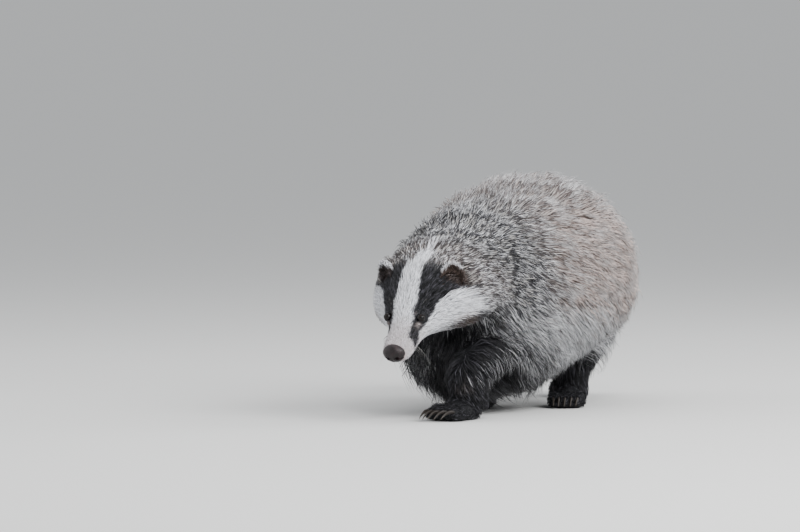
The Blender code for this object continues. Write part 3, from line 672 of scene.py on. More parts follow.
def markings(points, shift=0.0):
    """Shares of white, black, brown and bare skin at places of the head and trunk.

    Shift moves the edge of the black underside, in degrees round the trunk.
    """
    out, back, up = to_head(points).T
    edge = 0.0011 * ripple(points, 0.011) + 0.0007 * ripple(points, 0.0043, 3.0)
    across = np.abs(out - table(STRIPE_MIDDLE, back))
    round_side = np.abs(out) - up
    head = smooth_step(-0.098, -0.086, up) * (1.0 - smooth_step(0.150, 0.178, back))
    half = table(STRIPE_HALF, back)
    centre = 1.0 - smooth_step(-0.0012, 0.0012, across - half + edge)
    centre *= (up > -0.012 - 0.12 * np.maximum(back - 0.13, 0.0)) * (back < 0.195) * (up > -0.03)
    outer = table(MASK_OUTER, back)
    front = 0.0275 - (round_side - 0.005) * 0.22
    mask = smooth_step(-0.0012, 0.0016, outer - round_side + edge)
    mask *= smooth_step(-0.0015, 0.0020, back - front + edge) * (1.0 - smooth_step(0.131, 0.145, back + 2 * edge))
    lower = table(CHEEK_LOWER, back)
    cheek = smooth_step(-0.006, 0.010, lower - round_side + 2 * edge)
    cheek *= 1.0 - smooth_step(0.118, 0.133, back + 2 * edge + 0.1 * np.maximum(0.0, 0.06 - round_side))
    crown = (1.0 - smooth_step(-0.001, 0.003, round_side - outer + edge)) * smooth_step(0.112, 0.122, back)
    angle = trunk_angle(points)
    under = smooth_step(-3.5, 3.5, angle - table(UNDERSIDE, points[:, 1]) + 900.0 * edge + shift)
    black = under * (1 - head) + head * np.where(round_side > lower, 1.0 - cheek, 0.0)
    black = np.maximum(black, mask * head)
    white = head * cheek * (1.0 - mask) * (1.0 - crown)
    white = np.maximum(white, centre)
    black *= 1.0 - centre
    rear = smooth_step(-0.18, -0.04, points[:, 1]) * (1 - smooth_step(105, 130, angle))
    rear *= 0.35 + 0.65 * smooth_step(25.0, 60.0, angle)
    neck = smooth_step(0.125, 0.14, back) * (1 - smooth_step(0.17, 0.22, back)) * smooth_step(-0.09, -0.03, up)
    # Painted shade: a soft brownish darkening along the lower rear edge of the cheek, which also dims the white there.
    painted_cheek_shade = smooth_step(-0.018, -0.001, round_side - lower) * smooth_step(0.074, 0.096, back) * head
    painted_cheek_shade *= 1.0 - smooth_step(0.104, 0.118, back)
    muzzle = mask * head * (1 - smooth_step(0.040, 0.052, back))
    brown = 0.85 * rear + 0.15 * neck * (1 - white) * (1 - black) + 0.03 * muzzle
    brown = np.maximum(brown, 0.40 * painted_cheek_shade)
    white *= 1.0 - 0.36 * painted_cheek_shade
    nose = np.linalg.norm(np.stack([out, back - 0.006, up], axis=1), axis=1)
    muzzle = 0.95 * (1.0 - smooth_step(0.028, 0.062, back)) * white
    bare = np.maximum(0.8 * (1.0 - smooth_step(0.017, 0.026, nose)), muzzle)
    for side in (-1, 1):
        place = np.array(eye_frame(side))
        u, v, w = ((points - place[:3, 3]) @ place[:3, :3]).T
        ring = np.hypot(u / LID_OPENING[0], v / LID_OPENING[1])
        lid = (1.0 - smooth_step(1.5, 2.1, ring)) * (np.abs(w) < 0.012)
        black = np.maximum(black, 0.92 * lid)
        white *= 1.0 - lid
        for (far, outward, high), size, strength in PALE_SPOTS:
            off = np.linalg.norm(np.stack([out - side * outward, back - far, up - high], axis=1), axis=1)
            spot = strength * np.exp(-(off / size) ** 2) * (1.0 - 0.9 * lid)
            black *= 1.0 - spot
            bare = np.maximum(bare, 0.7 * spot)
            brown = np.maximum(brown, spot)
    return np.clip(np.stack([white, black, brown, bare], axis=1), 0.0, 1.0)


def set_attribute(mesh, name, values):
    layer = mesh.attributes.new(name, "FLOAT_COLOR", "POINT")
    layer.data.foreach_set("color", np.ascontiguousarray(values, dtype=np.float32).ravel())


def skin_marks(points):
    """The markings of the whole skin, with black legs, a pale tail and dark ears."""
    marks = markings(points)
    leg = np.zeros(len(points))
    for grid in [leg_grid(leg_) for leg_ in LEGS.values()]:
        middles = grid.mean(axis=1)
        off = np.min(np.linalg.norm(points[:, None, :] - middles[None, ::3, :], axis=2), axis=1)
        leg = np.maximum(leg, 1.0 - smooth_step(0.042, 0.054, off))
    leg *= 1.0 - smooth_step(0.085, 0.105, points[:, 2])
    leg = np.maximum(leg, points[:, 2] < 0.035)
    black = np.array([0.0, 1.0, 0.0, 0.0])
    marks += (black - marks) * leg[:, None]
    ears = near_ears(points, 1.15)[:, None] * 0.95
    return marks + (np.array([0.0, 1.0, 0.25, 0.0]) - marks) * ears


def sample(grid, density, count, chance):
    """Roots spread evenly over a grid of rings by area and density, with their place on the unwrap."""
    wrapped = np.concatenate([grid, grid[:, :1]], axis=1)
    a, b, c, d = wrapped[:-1, :-1], wrapped[:-1, 1:], wrapped[1:, 1:], wrapped[1:, :-1]
    area = 0.5 * np.linalg.norm(np.cross(c - a, d - b), axis=2)
    weight = (area * density((a + b + c + d).reshape(-1, 3) / 4).reshape(area.shape)).ravel()
    steps = (np.arange(count) + chance.random(count)) / count
    cell = np.searchsorted(np.cumsum(weight) / weight.sum(), steps)
    row, column = np.divmod(np.clip(cell, 0, weight.size - 1), area.shape[1])
    s, t = chance.random(count), chance.random(count)
    corner = [x[row, column] * w[:, None] for x, w in
              ((a, (1 - s) * (1 - t)), (b, (1 - s) * t), (c, s * t), (d, s * (1 - t)))]
    place = np.stack([(column + t) / area.shape[1], (row + s) / area.shape[0]], axis=1)
    return sum(corner), place


def nearest(tree, points):
    """Nearest places of the skin, its normals there and the distances."""
    found = [tree.find_nearest(p) for p in points]
    return (np.array([f[0] for f in found]), np.array([f[1] for f in found]), np.array([f[3] for f in found]))


def trace(tree, roots, normals, way, length, lift, hang, turn, levels):
    """Paths that leave the skin, follow it along the lie and rise from it by lift at their tips."""
    here, normal = roots.copy(), normals.copy()
    places = [here - normal * 0.0008]
    ahead = way(here, normal)
    for level in range(1, levels + 1):
        share = level / levels
        ahead = unit(ahead + np.cross(normal, ahead) * turn[:, None])
        here = here + ahead * (length / levels)[:, None]
        near, found, _ = nearest(tree, here)
        here = here + (near - here) * (1.0 - hang[:, None])
        normal = unit(normal * 0.35 + found)
        lie = way(here, normal)
        ahead = unit(ahead * (0.3 + 0.5 * hang[:, None]) + lie * (0.7 - 0.5 * hang[:, None]))
        ahead[:, 2] -= 0.20 * hang
        rise = lift * (1.0 - (1.0 - share) ** 1.7)
        places.append(here + normal * rise[:, None])
    return np.stack(places, axis=1), normal


def clumps(roots, size):
    """For each root, the number of the tuft in the middle of its clump of about size tufts."""
    centres = np.arange(0, len(roots), size)
    tree = KDTree(len(centres))
    for i, c in enumerate(centres):
        tree.insert(roots[c], i)
    tree.balance()
    return np.array([centres[tree.find(p)[1]] for p in roots])


def gather(paths, mine, pull):
    """Draws the tips of neighbouring tufts towards the middle one of their clump."""
    share = np.linspace(0.0, 1.0, paths.shape[1]) ** 1.4
    offset = paths[mine] - paths
    return paths + offset * (share[None, :, None] * pull[:, None, None])


def tuft_mesh(name, paths, normals, width, taper, marks, hair, place, finish):
    """Closed, tapered, three-sided tufts along the paths, as one mesh."""
    count, levels = paths.shape[0], paths.shape[1] - 1
    tangents = unit(np.gradient(paths, axis=1))
    side = unit(np.cross(tangents, normals[:, None, :]))
    out = np.cross(side, tangents)
    size = width[:, None] * np.array(taper)[None, :]
    ring = paths[:, :-1, None, :] + np.stack([
        side[:, :-1] * (size / 2)[..., None], out[:, :-1] * (size * 0.45)[..., None],
        -side[:, :-1] * (size / 2)[..., None]], axis=2)
    points = np.concatenate([ring.reshape(count, levels * 3, 3), paths[:, -1:, :]], axis=1)
    faces = [(2, 1, 0)]
    for level in range(levels - 1):
        for c in range(3):
            a, b = level * 3 + c, level * 3 + (c + 1) % 3
            faces += [(a, b, b + 3), (a, b + 3, a + 3)]
    last = (levels - 1) * 3
    faces += [(last + c, last + (c + 1) % 3, levels * 3) for c in range(3)]
    faces = np.array(faces)
    stride = levels * 3 + 1
    index = (faces[None] + (np.arange(count) * stride)[:, None, None]).reshape(-1, 3)
    mesh = bpy.data.meshes.new(name)
    mesh.vertices.add(count * stride)
    mesh.vertices.foreach_set("co", (points + STANCE_SHIFT).astype(np.float32).ravel())
    mesh.loops.add(index.size)
    mesh.loops.foreach_set("vertex_index", index.astype(np.int32).ravel())
    mesh.polygons.add(len(index))
    mesh.polygons.foreach_set("loop_start", np.arange(0, index.size, 3, dtype=np.int32))
    mesh.update(calc_edges=True)
    mesh.shade_smooth()
    along = np.append(np.repeat(np.arange(levels) / levels, 3), 1.0)
    across = np.append(np.tile([-1.0, 0.0, 1.0], levels), 0.0)
    values = np.empty((count, stride, 4))
    values[..., 0] = along
    values[..., 1:3] = hair[:, None, :]
    values[..., 3] = 1.0
    set_attribute(mesh, "hair", values)
    set_attribute(mesh, "marks", np.repeat(marks[:, None, :], stride, axis=1))
    patch = 0.0015
    spot = 0.002 + 0.996 * place[:, None, :] + patch * np.stack([across, 2 * along - 1], axis=1)[None]
    layer = mesh.uv_layers.new(name="OFBake")
    layer.data.foreach_set("uv", spot.reshape(-1, 2)[index.ravel()].astype(np.float32).ravel())
    mesh.materials.append(finish)
    return new_object(name, mesh)


def spread(places):
    """Places stretched to fill the unit square."""
    low, high = places.min(axis=0), places.max(axis=0)
    return (places - low) / np.maximum(high - low, 1e-9)


def coat_piece(name, slot, *parts):
    piece = tuft_mesh(name, *parts)
    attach(piece, "root")
    return piece


def trunk_way(points, normals):
    """The way the trunk's coat lies: backwards, and more and more down to the flanks and rump."""
    way = np.zeros_like(points)
    way[:, 1] = 1.0
    way[:, 2] = -0.12 - 0.52 * np.abs(normals[:, 0]) - 0.6 * np.maximum(0.0, normals[:, 1])
    way -= normals * np.sum(way * normals, axis=1, keepdims=True)
    return unit(way)


def head_way(points, normals):
    """On the head the coat lies back from the nose, and down over the cheeks."""
    local = to_head(points)
    facing = normals @ HEAD_INVERSE[:3, :3].T
    way = np.zeros_like(points)
    way[:, 1] = 1.0
    way[:, 0] = 0.10 * np.sign(local[:, 0]) * smooth_step(0.02, 0.06, local[:, 1])
    way[:, 2] = -0.75 * np.abs(facing[:, 0]) * smooth_step(0.04, 0.11, local[:, 1])
    way = way @ HEAD[:3, :3].T
    way -= normals * np.sum(way * normals, axis=1, keepdims=True)
    return unit(way)


def steady_way(direction):
    """A lie along one direction, drawn onto the surface."""
    direction = np.array(direction, float)

    def way(points, normals):
        flat = direction - normals * (normals @ direction)[:, None]
        return unit(flat + 1e-4)

    return way


def leg_way(leg):
    """Along a leg's length and a little down, drawn onto the surface."""
    middles = leg_grid(leg).mean(axis=1)
    along = unit(np.gradient(middles, axis=0))

    def way(points, normals):
        ring = np.argmin(np.linalg.norm(points[:, None, :] - middles[None], axis=2), axis=1)
        mixed = along[ring] + np.array([0.0, 0.10, -0.40])
        return unit(mixed - normals * np.sum(mixed * normals, axis=1, keepdims=True) + 1e-4)

    return way


def skin_tree():
    mesh = bpy.data.objects["skin"].data
    points = read_points(mesh) - STANCE_SHIFT
    mesh.calc_loop_triangles()
    triangles = np.empty(len(mesh.loop_triangles) * 3, dtype=np.int32)
    mesh.loop_triangles.foreach_get("vertices", triangles)
    return BVHTree.FromPolygons(points.tolist(), triangles.reshape(-1, 3).tolist())


def add_group(name, inputs, outputs):
    group = bpy.data.node_groups.new(name, "ShaderNodeTree")
    for label, kind in inputs:
        group.interface.new_socket(label, in_out="INPUT", socket_type=kind)
    for label, kind in outputs:
        group.interface.new_socket(label, in_out="OUTPUT", socket_type=kind)
    return group, group.nodes.new("NodeGroupInput"), group.nodes.new("NodeGroupOutput")


def ramp(tree, stops, value):
    node = tree.nodes.new("ShaderNodeValToRGB")
    marks = node.color_ramp.elements
    while len(marks) < len(stops):
        marks.new(0.5)
    for mark, (place, colour) in zip(marks, stops):
        mark.position = place
        mark.color = (*colour, 1.0)
    tree.links.new(value, node.inputs["Fac"])
    return node.outputs["Color"]


def mix(tree, share, first, second):
    node = tree.nodes.new("ShaderNodeMix")
    node.data_type = "RGBA"
    tree.links.new(share, node.inputs["Factor"])
    tree.links.new(first, node.inputs[6])
    tree.links.new(second, node.inputs[7])
    return node.outputs[2]


def maths(tree, operation, first, second, clamp=False):
    node = tree.nodes.new("ShaderNodeMath")
    node.operation = operation
    node.use_clamp = clamp
    for socket, value in zip(node.inputs, (first, second)):
        if isinstance(value, (int, float)):
            socket.default_value = value
        else:
            tree.links.new(value, socket)
    return node.outputs[0]


def noise(tree, scale, detail=2.0):
    node = tree.nodes.new("ShaderNodeTexNoise")
    node.inputs["Scale"].default_value = scale
    node.inputs["Detail"].default_value = detail
    place = tree.nodes.new("ShaderNodeTexCoord")
    tree.links.new(place.outputs["Object"], node.inputs["Vector"])
    return node.outputs["Fac"]


def shade_of(colour, share):
    return tuple(share * c for c in colour)


def coat_colour_group(colours):
    """Colour of a hair from where it grows, how far along it is, and its own draw."""
    group, given, result = add_group(
        "coat colour", [("Marks", "NodeSocketColor"), ("Bare", "NodeSocketFloat"), ("Hair", "NodeSocketColor")],
        [("Colour", "NodeSocketColor")])
    marks = group.nodes.new("ShaderNodeSeparateColor")
    hair = group.nodes.new("ShaderNodeSeparateColor")
    group.links.new(given.outputs["Marks"], marks.inputs[0])
    group.links.new(given.outputs["Hair"], hair.inputs[0])
    along, draw, hang = hair.outputs[0], hair.outputs[1], hair.outputs[2]
    patch = maths(group, "SUBTRACT", noise(group, 55.0), 0.5)
    shift = maths(group, "MULTIPLY", maths(group, "SUBTRACT", draw, 0.5), 0.30)
    place = maths(group, "ADD", along, maths(group, "ADD", shift, maths(group, "MULTIPLY", patch, 0.18)))
    place = maths(group, "MAXIMUM", place, 0.0, True)
    # The colour at the roots is partly undercoat and partly painted shade in the gaps between the clumps.
    under, cream, band, tip = colours.underfur_and_gap_shade, colours.cream, colours.band, colours.tip
    grey = ramp(group, [(0.0, under), (0.16, cream), (0.42, cream), (0.51, band), (0.69, band),
                        (0.78, tip), (1.0, tip)], place)
    beige, brown = colours.beige, colours.brown
    sand = tuple(0.4 * a + 0.6 * b for a, b in zip(tip, beige))
    warm = ramp(group, [(0.0, under), (0.14, shade_of(beige, 0.9)), (0.58, beige), (0.66, shade_of(beige, 0.22)),
                        (0.72, shade_of(beige, 0.32)), (0.79, sand), (0.92, sand), (1.0, tip)], place)
    hanging = ramp(group, [(0.0, colours.black), (0.46, band), (0.56, shade_of(tip, 0.60)), (0.70, tip), (1.0, tip)],
                   place)
    # Black hair varies at random in tone, and its lightest, bluish draws are also painted sheen on the black coat.
    black = ramp(group, [(0.0, shade_of(colours.black, 0.6)), (0.60, colours.black), (0.82, shade_of(band, 0.9)),
                         (1.0, shade_of(band, 2.8))], draw)
    umber = ramp(group, [(0.0, shade_of(brown, 0.25)), (0.5, shade_of(brown, 0.6)), (1.0, brown)], draw)
    dark = mix(group, marks.outputs[2], black, umber)
    pale = ramp(group, [(0.0, shade_of(colours.white, 0.40)), (0.40, shade_of(colours.white, 0.80)),
                        (0.75, colours.white), (1.0, colours.white)], along)
    dusty = ramp(group, [(0.0, shade_of(colours.white, 0.30)), (0.14, shade_of(colours.white, 0.66)),
                         (0.40, shade_of(colours.white, 0.96)), (1.0, colours.white)], draw)
    tint = group.nodes.new("ShaderNodeMix")
    tint.data_type, tint.blend_type = "RGBA", "MULTIPLY"
    tint.inputs["Factor"].default_value = 0.75
    group.links.new(pale, tint.inputs[6])
    group.links.new(dusty, tint.inputs[7])
    colour = mix(group, marks.outputs[2], grey, warm)
    colour = mix(group, hang, colour, hanging)
    colour = mix(group, marks.outputs[1], colour, dark)
    colour = mix(group, marks.outputs[0], colour, tint.outputs[2])
    skin = group.nodes.new("ShaderNodeRGB")
    skin.outputs[0].default_value = (*colours.bare, 1.0)
    colour = mix(group, given.outputs["Bare"], colour, skin.outputs[0])
    group.links.new(colour, result.inputs["Colour"])
    return group


def new_material(name):
    made = bpy.data.materials.new(name)
    made.use_nodes = True
    return made, made.node_tree, made.node_tree.nodes["Principled BSDF"]


def attribute(tree, name):
    node = tree.nodes.new("ShaderNodeAttribute")
    node.attribute_name = name
    return node


def coat_material(group, name, bare_share):
    made, tree, shader = new_material(name)
    colour = tree.nodes.new("ShaderNodeGroup")
    colour.node_tree = group
    marks = attribute(tree, "marks")
    tree.links.new(marks.outputs["Color"], colour.inputs["Marks"])
    tree.links.new(maths(tree, "MULTIPLY", marks.outputs["Alpha"], bare_share), colour.inputs["Bare"])
    tree.links.new(attribute(tree, "hair").outputs["Color"], colour.inputs["Hair"])
    tree.links.new(colour.outputs["Colour"], shader.inputs["Base Color"])
    return made, tree, shader


def materials():
    """Every finish, made once."""
    colours = bpy.context.scene.badger_colours
    group = coat_colour_group(colours)
    coat, tree, shader = coat_material(group, "coat", 0.45)
    shader.inputs["Roughness"].default_value = 0.55
    shader.inputs["Specular IOR Level"].default_value = 0.28
    skin, tree, shader = coat_material(group, "skin", 1.0)
    shader.inputs["Roughness"].default_value = 0.7
    shader.inputs["Specular IOR Level"].default_value = 0.2
    bump = tree.nodes.new("ShaderNodeBump")
    bump.inputs["Distance"].default_value = 0.0006
    bump.inputs["Strength"].default_value = 0.7
    tree.links.new(noise(tree, 900.0, 3.0), bump.inputs["Height"])
    tree.links.new(bump.outputs["Normal"], shader.inputs["Normal"])
    nose_material()
    eye_material()
    claw_material()
    whisker_material()
    floor_material()


def nose_material():
    made, tree, shader = new_material("nose_pad")
    cells = tree.nodes.new("ShaderNodeTexVoronoi")
    cells.inputs["Scale"].default_value = 1100.0
    cells.feature = "F1"
    place = tree.nodes.new("ShaderNodeTexCoord")
    tree.links.new(place.outputs["Object"], cells.inputs["Vector"])
    bump = tree.nodes.new("ShaderNodeBump")
    bump.inputs["Distance"].default_value = 0.0004
    bump.inputs["Strength"].default_value = 0.8
    bump.invert = True
    tree.links.new(cells.outputs["Distance"], bump.inputs["Height"])
    tree.links.new(bump.outputs["Normal"], shader.inputs["Normal"])
    colour = ramp(tree, [(0.25, (0.005, 0.003, 0.003)), (0.55, (0.011, 0.006, 0.007)), (0.8, (0.028, 0.015, 0.016))],
                  noise(tree, 140.0, 3.0))
    tree.links.new(colour, shader.inputs["Base Color"])
    shader.inputs["Roughness"].default_value = 0.34
    shader.inputs["Specular IOR Level"].default_value = 0.25
    shader.inputs["Coat Weight"].default_value = 0.12
    shader.inputs["Coat Roughness"].default_value = 0.18


def eye_material():
    made, tree, shader = new_material("eye")
    place = tree.nodes.new("ShaderNodeAttribute")
    place.attribute_name = "facing"
    colour = ramp(tree, [(0.0, (0.004, 0.003, 0.003)), (0.55, (0.004, 0.0025, 0.002)), (0.74, (0.0075, 0.0038, 0.0024)),
                         (0.86, (0.004, 0.002, 0.0015)), (0.89, (0.001, 0.001, 0.001)), (1.0, (0.001, 0.001, 0.001))],
                  place.outputs["Fac"])
    tree.links.new(colour, shader.inputs["Base Color"])
    shader.inputs["Roughness"].default_value = 0.08
    shader.inputs["Specular IOR Level"].default_value = 0.08
    shader.inputs["Coat Weight"].default_value = 0.3
    shader.inputs["Coat Roughness"].default_value = 0.02


def claw_material():
    made, tree, shader = new_material("claw")
    along = attribute(tree, "hair")
    part = tree.nodes.new("ShaderNodeSeparateColor")
    tree.links.new(along.outputs["Color"], part.inputs[0])
    speck = maths(tree, "MULTIPLY", maths(tree, "SUBTRACT", noise(tree, 420.0, 4.0), 0.5), 0.5)
    colour = ramp(tree, [(0.0, (0.010, 0.008, 0.007)), (0.5, (0.016, 0.012, 0.010)), (0.85, (0.024, 0.019, 0.015)),
                         (1.0, (0.048, 0.038, 0.031))], maths(tree, "ADD", part.outputs[0], speck, True))
    tree.links.new(colour, shader.inputs["Base Color"])
    shader.inputs["Roughness"].default_value = 0.42
    shader.inputs["Specular IOR Level"].default_value = 0.28
    bump = tree.nodes.new("ShaderNodeBump")
    bump.inputs["Distance"].default_value = 0.0002
    tree.links.new(noise(tree, 700.0, 2.0), bump.inputs["Height"])
    tree.links.new(bump.outputs["Normal"], shader.inputs["Normal"])


def whisker_material():
    made, tree, shader = new_material("whisker")
    colour = ramp(tree, [(0.3, (0.30, 0.29, 0.28)), (0.7, (0.58, 0.57, 0.55))], noise(tree, 60.0))
    tree.links.new(colour, shader.inputs["Base Color"])
    shader.inputs["Roughness"].default_value = 0.35


def floor_material():
    made, tree, shader = new_material("floor")
    shader.inputs["Base Color"].default_value = (0.66, 0.66, 0.65, 1.0)
    shader.inputs["Roughness"].default_value = 0.9
    shader.inputs["Specular IOR Level"].default_value = 0.0


class BADGER_OT_skin(bpy.types.Operator):
    """Builds the skin of the whole body with its lids, lips and ears"""
    bl_idname = "badger.skin"
    bl_label = "Skin"

    def execute(self, context):
        mesh = build_skin_mesh()
        if len(mesh.vertices) < 10000:
            raise RuntimeError("the skin has too few points")
        points = read_points(mesh)
        set_attribute(mesh, "marks", skin_marks(points))
        hair = np.tile([0.10, 0.5, 0.0, 1.0], (len(points), 1))
        set_attribute(mesh, "hair", hair)
        write_points(mesh, points + STANCE_SHIFT)
        mesh.shade_smooth()
        mesh.materials.clear()
        mesh.materials.append(bpy.data.materials["skin"])
        skin = new_object("skin", mesh)
        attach(skin, "root")
        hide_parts(*FLESH)
        return {"FINISHED"}


class BADGER_OT_eyes(bpy.types.Operator):
    """Builds the eyeballs"""
    bl_idname = "badger.eyes"
    bl_label = "Eyes"

    def execute(self, context):
        for side, name in ((1, "left"), (-1, "right")):
            place = eye_frame(side)
            grid = ball_grid(Matrix.Identity(4), (EYE_RADIUS,) * 3, 48, 64)
            bulge = 1.0 + 0.03 * smooth_step(0.80, 1.0, grid[..., 2] / EYE_RADIUS)
            grid = grid * bulge[..., None]
            facing = np.append(grid[..., 2].ravel() / EYE_RADIUS, [1.05, -1.0])
            turned = grid @ np.array(place)[:3, :3].T + np.array(place)[:3, 3] + STANCE_SHIFT
            mesh = closed_mesh("eyeball_" + name, [turned])
            layer = mesh.attributes.new("facing", "FLOAT", "POINT")
            layer.data.foreach_set("value", np.clip(facing, 0.0, 1.0).astype(np.float32))
            mesh.shade_smooth()
            mesh.materials.append(bpy.data.materials["eye"])
            ball = new_object("eyeball_" + name, mesh)
            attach(ball, "root")
            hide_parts("eye_" + name)
        return {"FINISHED"}


class BADGER_OT_nose(bpy.types.Operator):
    """Builds the nose pad with its nostrils and groove"""
    bl_idname = "badger.nose"
    bl_label = "Nose"

    def execute(self, context):
        wide, long, high = (1.05 * size for size in NOSE_HALF)
        high *= 1.12
        local = ball_grid(Matrix.Rotation(math.radians(90.0), 4, "X"), (1.0, 1.0, 1.0), 110, 150)
        x, y, z = np.moveaxis(local, -1, 0)
        flat = 1.0 - 0.10 * np.abs(z) ** 3
        shape = np.stack([x * wide * (1.0 + 0.10 * z) * flat, y * long, z * high], axis=-1)
        front = shape[..., 1] < 0.002
        for side in (-1, 1):
            hole = np.hypot((shape[..., 0] - side * 0.0064) / 0.0029, (shape[..., 2] + 0.0006) / 0.0025)
            comma = np.hypot((shape[..., 0] - side * 0.0104) / 0.0042, (shape[..., 2] + 0.0024
                             + 0.25 * (side * shape[..., 0] - 0.0104)) / 0.0011)
            pit = np.maximum(np.exp(-hole**4), 0.75 * np.exp(-comma**4)) * front
            rim = np.exp(-((hole - 1.35) / 0.3) ** 2) * front
            shape[..., 1] += 0.0058 * pit - 0.0006 * rim
        groove = np.exp(-(shape[..., 0] / 0.0008) ** 2) * (1.0 - smooth_step(-0.002, 0.004, shape[..., 2])) * front
        shape[..., 1] += 0.0011 * groove
        out, back, up = NOSE_CENTRE[1], NOSE_CENTRE[0], NOSE_CENTRE[2]
        grid = from_head(shape + np.array([out, back, up])) + STANCE_SHIFT
        mesh = closed_mesh("nose_pad", [grid])
        mesh.shade_smooth()
        mesh.materials.append(bpy.data.materials["nose_pad"])
        pad = new_object("nose_pad", mesh)
        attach(pad, "root")
        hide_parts("nose")
        return {"FINISHED"}


class BADGER_OT_claws(bpy.types.Operator):
    """Builds the claws of each paw"""
    bl_idname = "badger.claws"
    bl_label = "Claws"

    def execute(self, context):
        for name, leg in LEGS.items():
            length = CLAW_LENGTH[leg["rear"]]
            grids = []
            for toe in toe_frames(leg):
                steps = np.linspace(0.0, 1.0, 14)
                angles = np.arange(12) * 2 * math.pi / 12
                size = 0.0026 * np.sqrt(1.0 - 0.985 * steps**1.6)
                y = -0.010 - length * 1.22 * steps + 0.006
                z = 0.0105 + 0.0045 * np.sin(math.pi * steps * 0.9) - 0.0080 * steps**2
                ring = np.stack(np.broadcast_arrays(
                    (size * 0.75)[:, None] * np.cos(angles)[None], y[:, None] + 0 * angles[None],
                    z[:, None] + (size * 1.1)[:, None] * np.sin(angles)[None]), axis=-1)
                place = np.array(toe)
                grids.append(ring @ place[:3, :3].T + place[:3, 3] + STANCE_SHIFT)
            mesh = closed_mesh("claws_" + name, grids)
            along = np.concatenate([np.append(np.repeat(np.linspace(0.0, 1.0, 14), 12), [0.0, 1.0])] * len(grids))
            set_attribute(mesh, "hair", np.stack([along, along * 0, along * 0, along * 0 + 1], axis=1))
            mesh.shade_smooth()
            mesh.materials.append(bpy.data.materials["claw"])
            claws = new_object("claws_" + name, mesh)
            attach(claws, "root")
        return {"FINISHED"}


class BADGER_OT_body_coat(bpy.types.Operator):
    """Grows the long coat of the neck and torso"""
    bl_idname = "badger.body_coat"
    bl_label = "Body coat"

    def execute(self, context):
        coat = context.scene.badger_coat
        chance = np.random.default_rng(coat.seed)
        tree = skin_tree()
        roots, place = sample(trunk_grid(110, 96), lambda p: np.ones(len(p)), coat.body_tufts, chance)
        roots, normals, off = nearest(tree, roots)
        keep = (off < 0.004) & ~near_ears(roots)
        roots, normals, place = roots[keep], normals[keep], place[keep]
        count = len(roots)
        angle = trunk_angle(roots)
        start = trunk_stations()[0][0]
        grown = smooth_step(start - 0.01, start + 0.15, roots[:, 1])
        rear = smooth_step(-0.04, 0.10, roots[:, 1])
        low = smooth_step(85.0, 125.0, angle)
        length = (0.030 + (coat.body_length - 0.030) * grown) * (1 - low) + low * (
            0.034 + (coat.fringe_length - 0.034) * grown)
        thigh = smooth_step(-0.02, 0.05, roots[:, 1]) * low
        length *= (1.0 - 0.45 * smooth_step(150.0, 175.0, angle)) * (1.0 - 0.50 * thigh)
        length *= chance.uniform(0.75, 1.15, count)
        hang = 0.55 * smooth_step(100.0, 140.0, angle) * (1.0 - 0.6 * smooth_step(160.0, 178.0, angle))
        hang *= 1.0 - 0.6 * rear
        locks, small = clumps(roots, 60), clumps(roots, 10)
        lot = chance.random(count)
        lift = skin_depth(roots[:, 1]) * chance.uniform(0.75, 1.10, count) * (0.74 + 0.64 * lot[locks])
        stray = chance.random(count) < 0.15
        lift[stray] *= 1.5
        chest = (1.0 - smooth_step(-0.20, -0.12, roots[:, 1])) * smooth_step(105.0, 125.0, angle)
        spiky = chance.random(count) < 0.35 * chest
        lift[spiky] *= 1.7
        length = length * (1.0 + 0.35 * chest)
        sway = chance.normal(0.0, 0.12, count)
        turn = chance.normal(0.0, 0.07, count) + sway[small] + 0.16 * ripple(roots, 0.02)
        paths, normals = trace(tree, roots, normals, trunk_way, length, lift, hang, turn, 2)
        paths = gather(paths, locks, chance.uniform(0.15, 0.55, count) * (0.4 + 0.6 * lot[locks]))
        paths = gather(paths, small, chance.uniform(0.05, 0.50, count))
        paths[..., 2] = np.maximum(paths[..., 2], 0.004)
        width = coat.body_width * chance.uniform(0.6, 1.25, count) * np.where(stray | spiky, 0.7, 1.0)
        shown = paths[:, 2] * 0.6 + paths[:, 1] * 0.4
        marks = markings(shown + chance.normal(0.0, 0.0020, shown.shape), chance.normal(0.0, 5.0, count))
        fringe = smooth_step(80.0, 115.0, angle) * chance.uniform(0.0, 1.0, count) ** 0.7
        marks[:, 1] *= 1.0 - 0.8 * (fringe > 0.80) * (1.0 - smooth_step(116.0, 132.0, angle))
        draw = 0.62 * chance.random(count) + 0.26 * lot[small] + 0.12 * lot[locks]
        dark = table([(-0.36, 0.42), (-0.26, 0.36), (-0.15, 0.22), (0.00, 0.10), (0.12, 0.03)], roots[:, 1])
        marks[:, 1] = np.where(chance.random(count) < dark * (1.0 - marks[:, 0]), 0.9, marks[:, 1])
        hair = np.stack([draw, fringe * 0.85 * (1.0 - rear)], axis=1)
        names = ("neck", "shoulders", "ribs", "back", "loins", "hips", "rump")
        order = np.argsort(paths[:, 0, 1], kind="stable")
        for name, part in zip(names, np.array_split(order, len(names))):
            coat_piece(
                "coat_" + name, "coat_grey", paths[part], normals[part], width[part], (0.8, 0.9),
                marks[part], hair[part], spread(place[part]), bpy.data.materials["coat"])
        return {"FINISHED"}


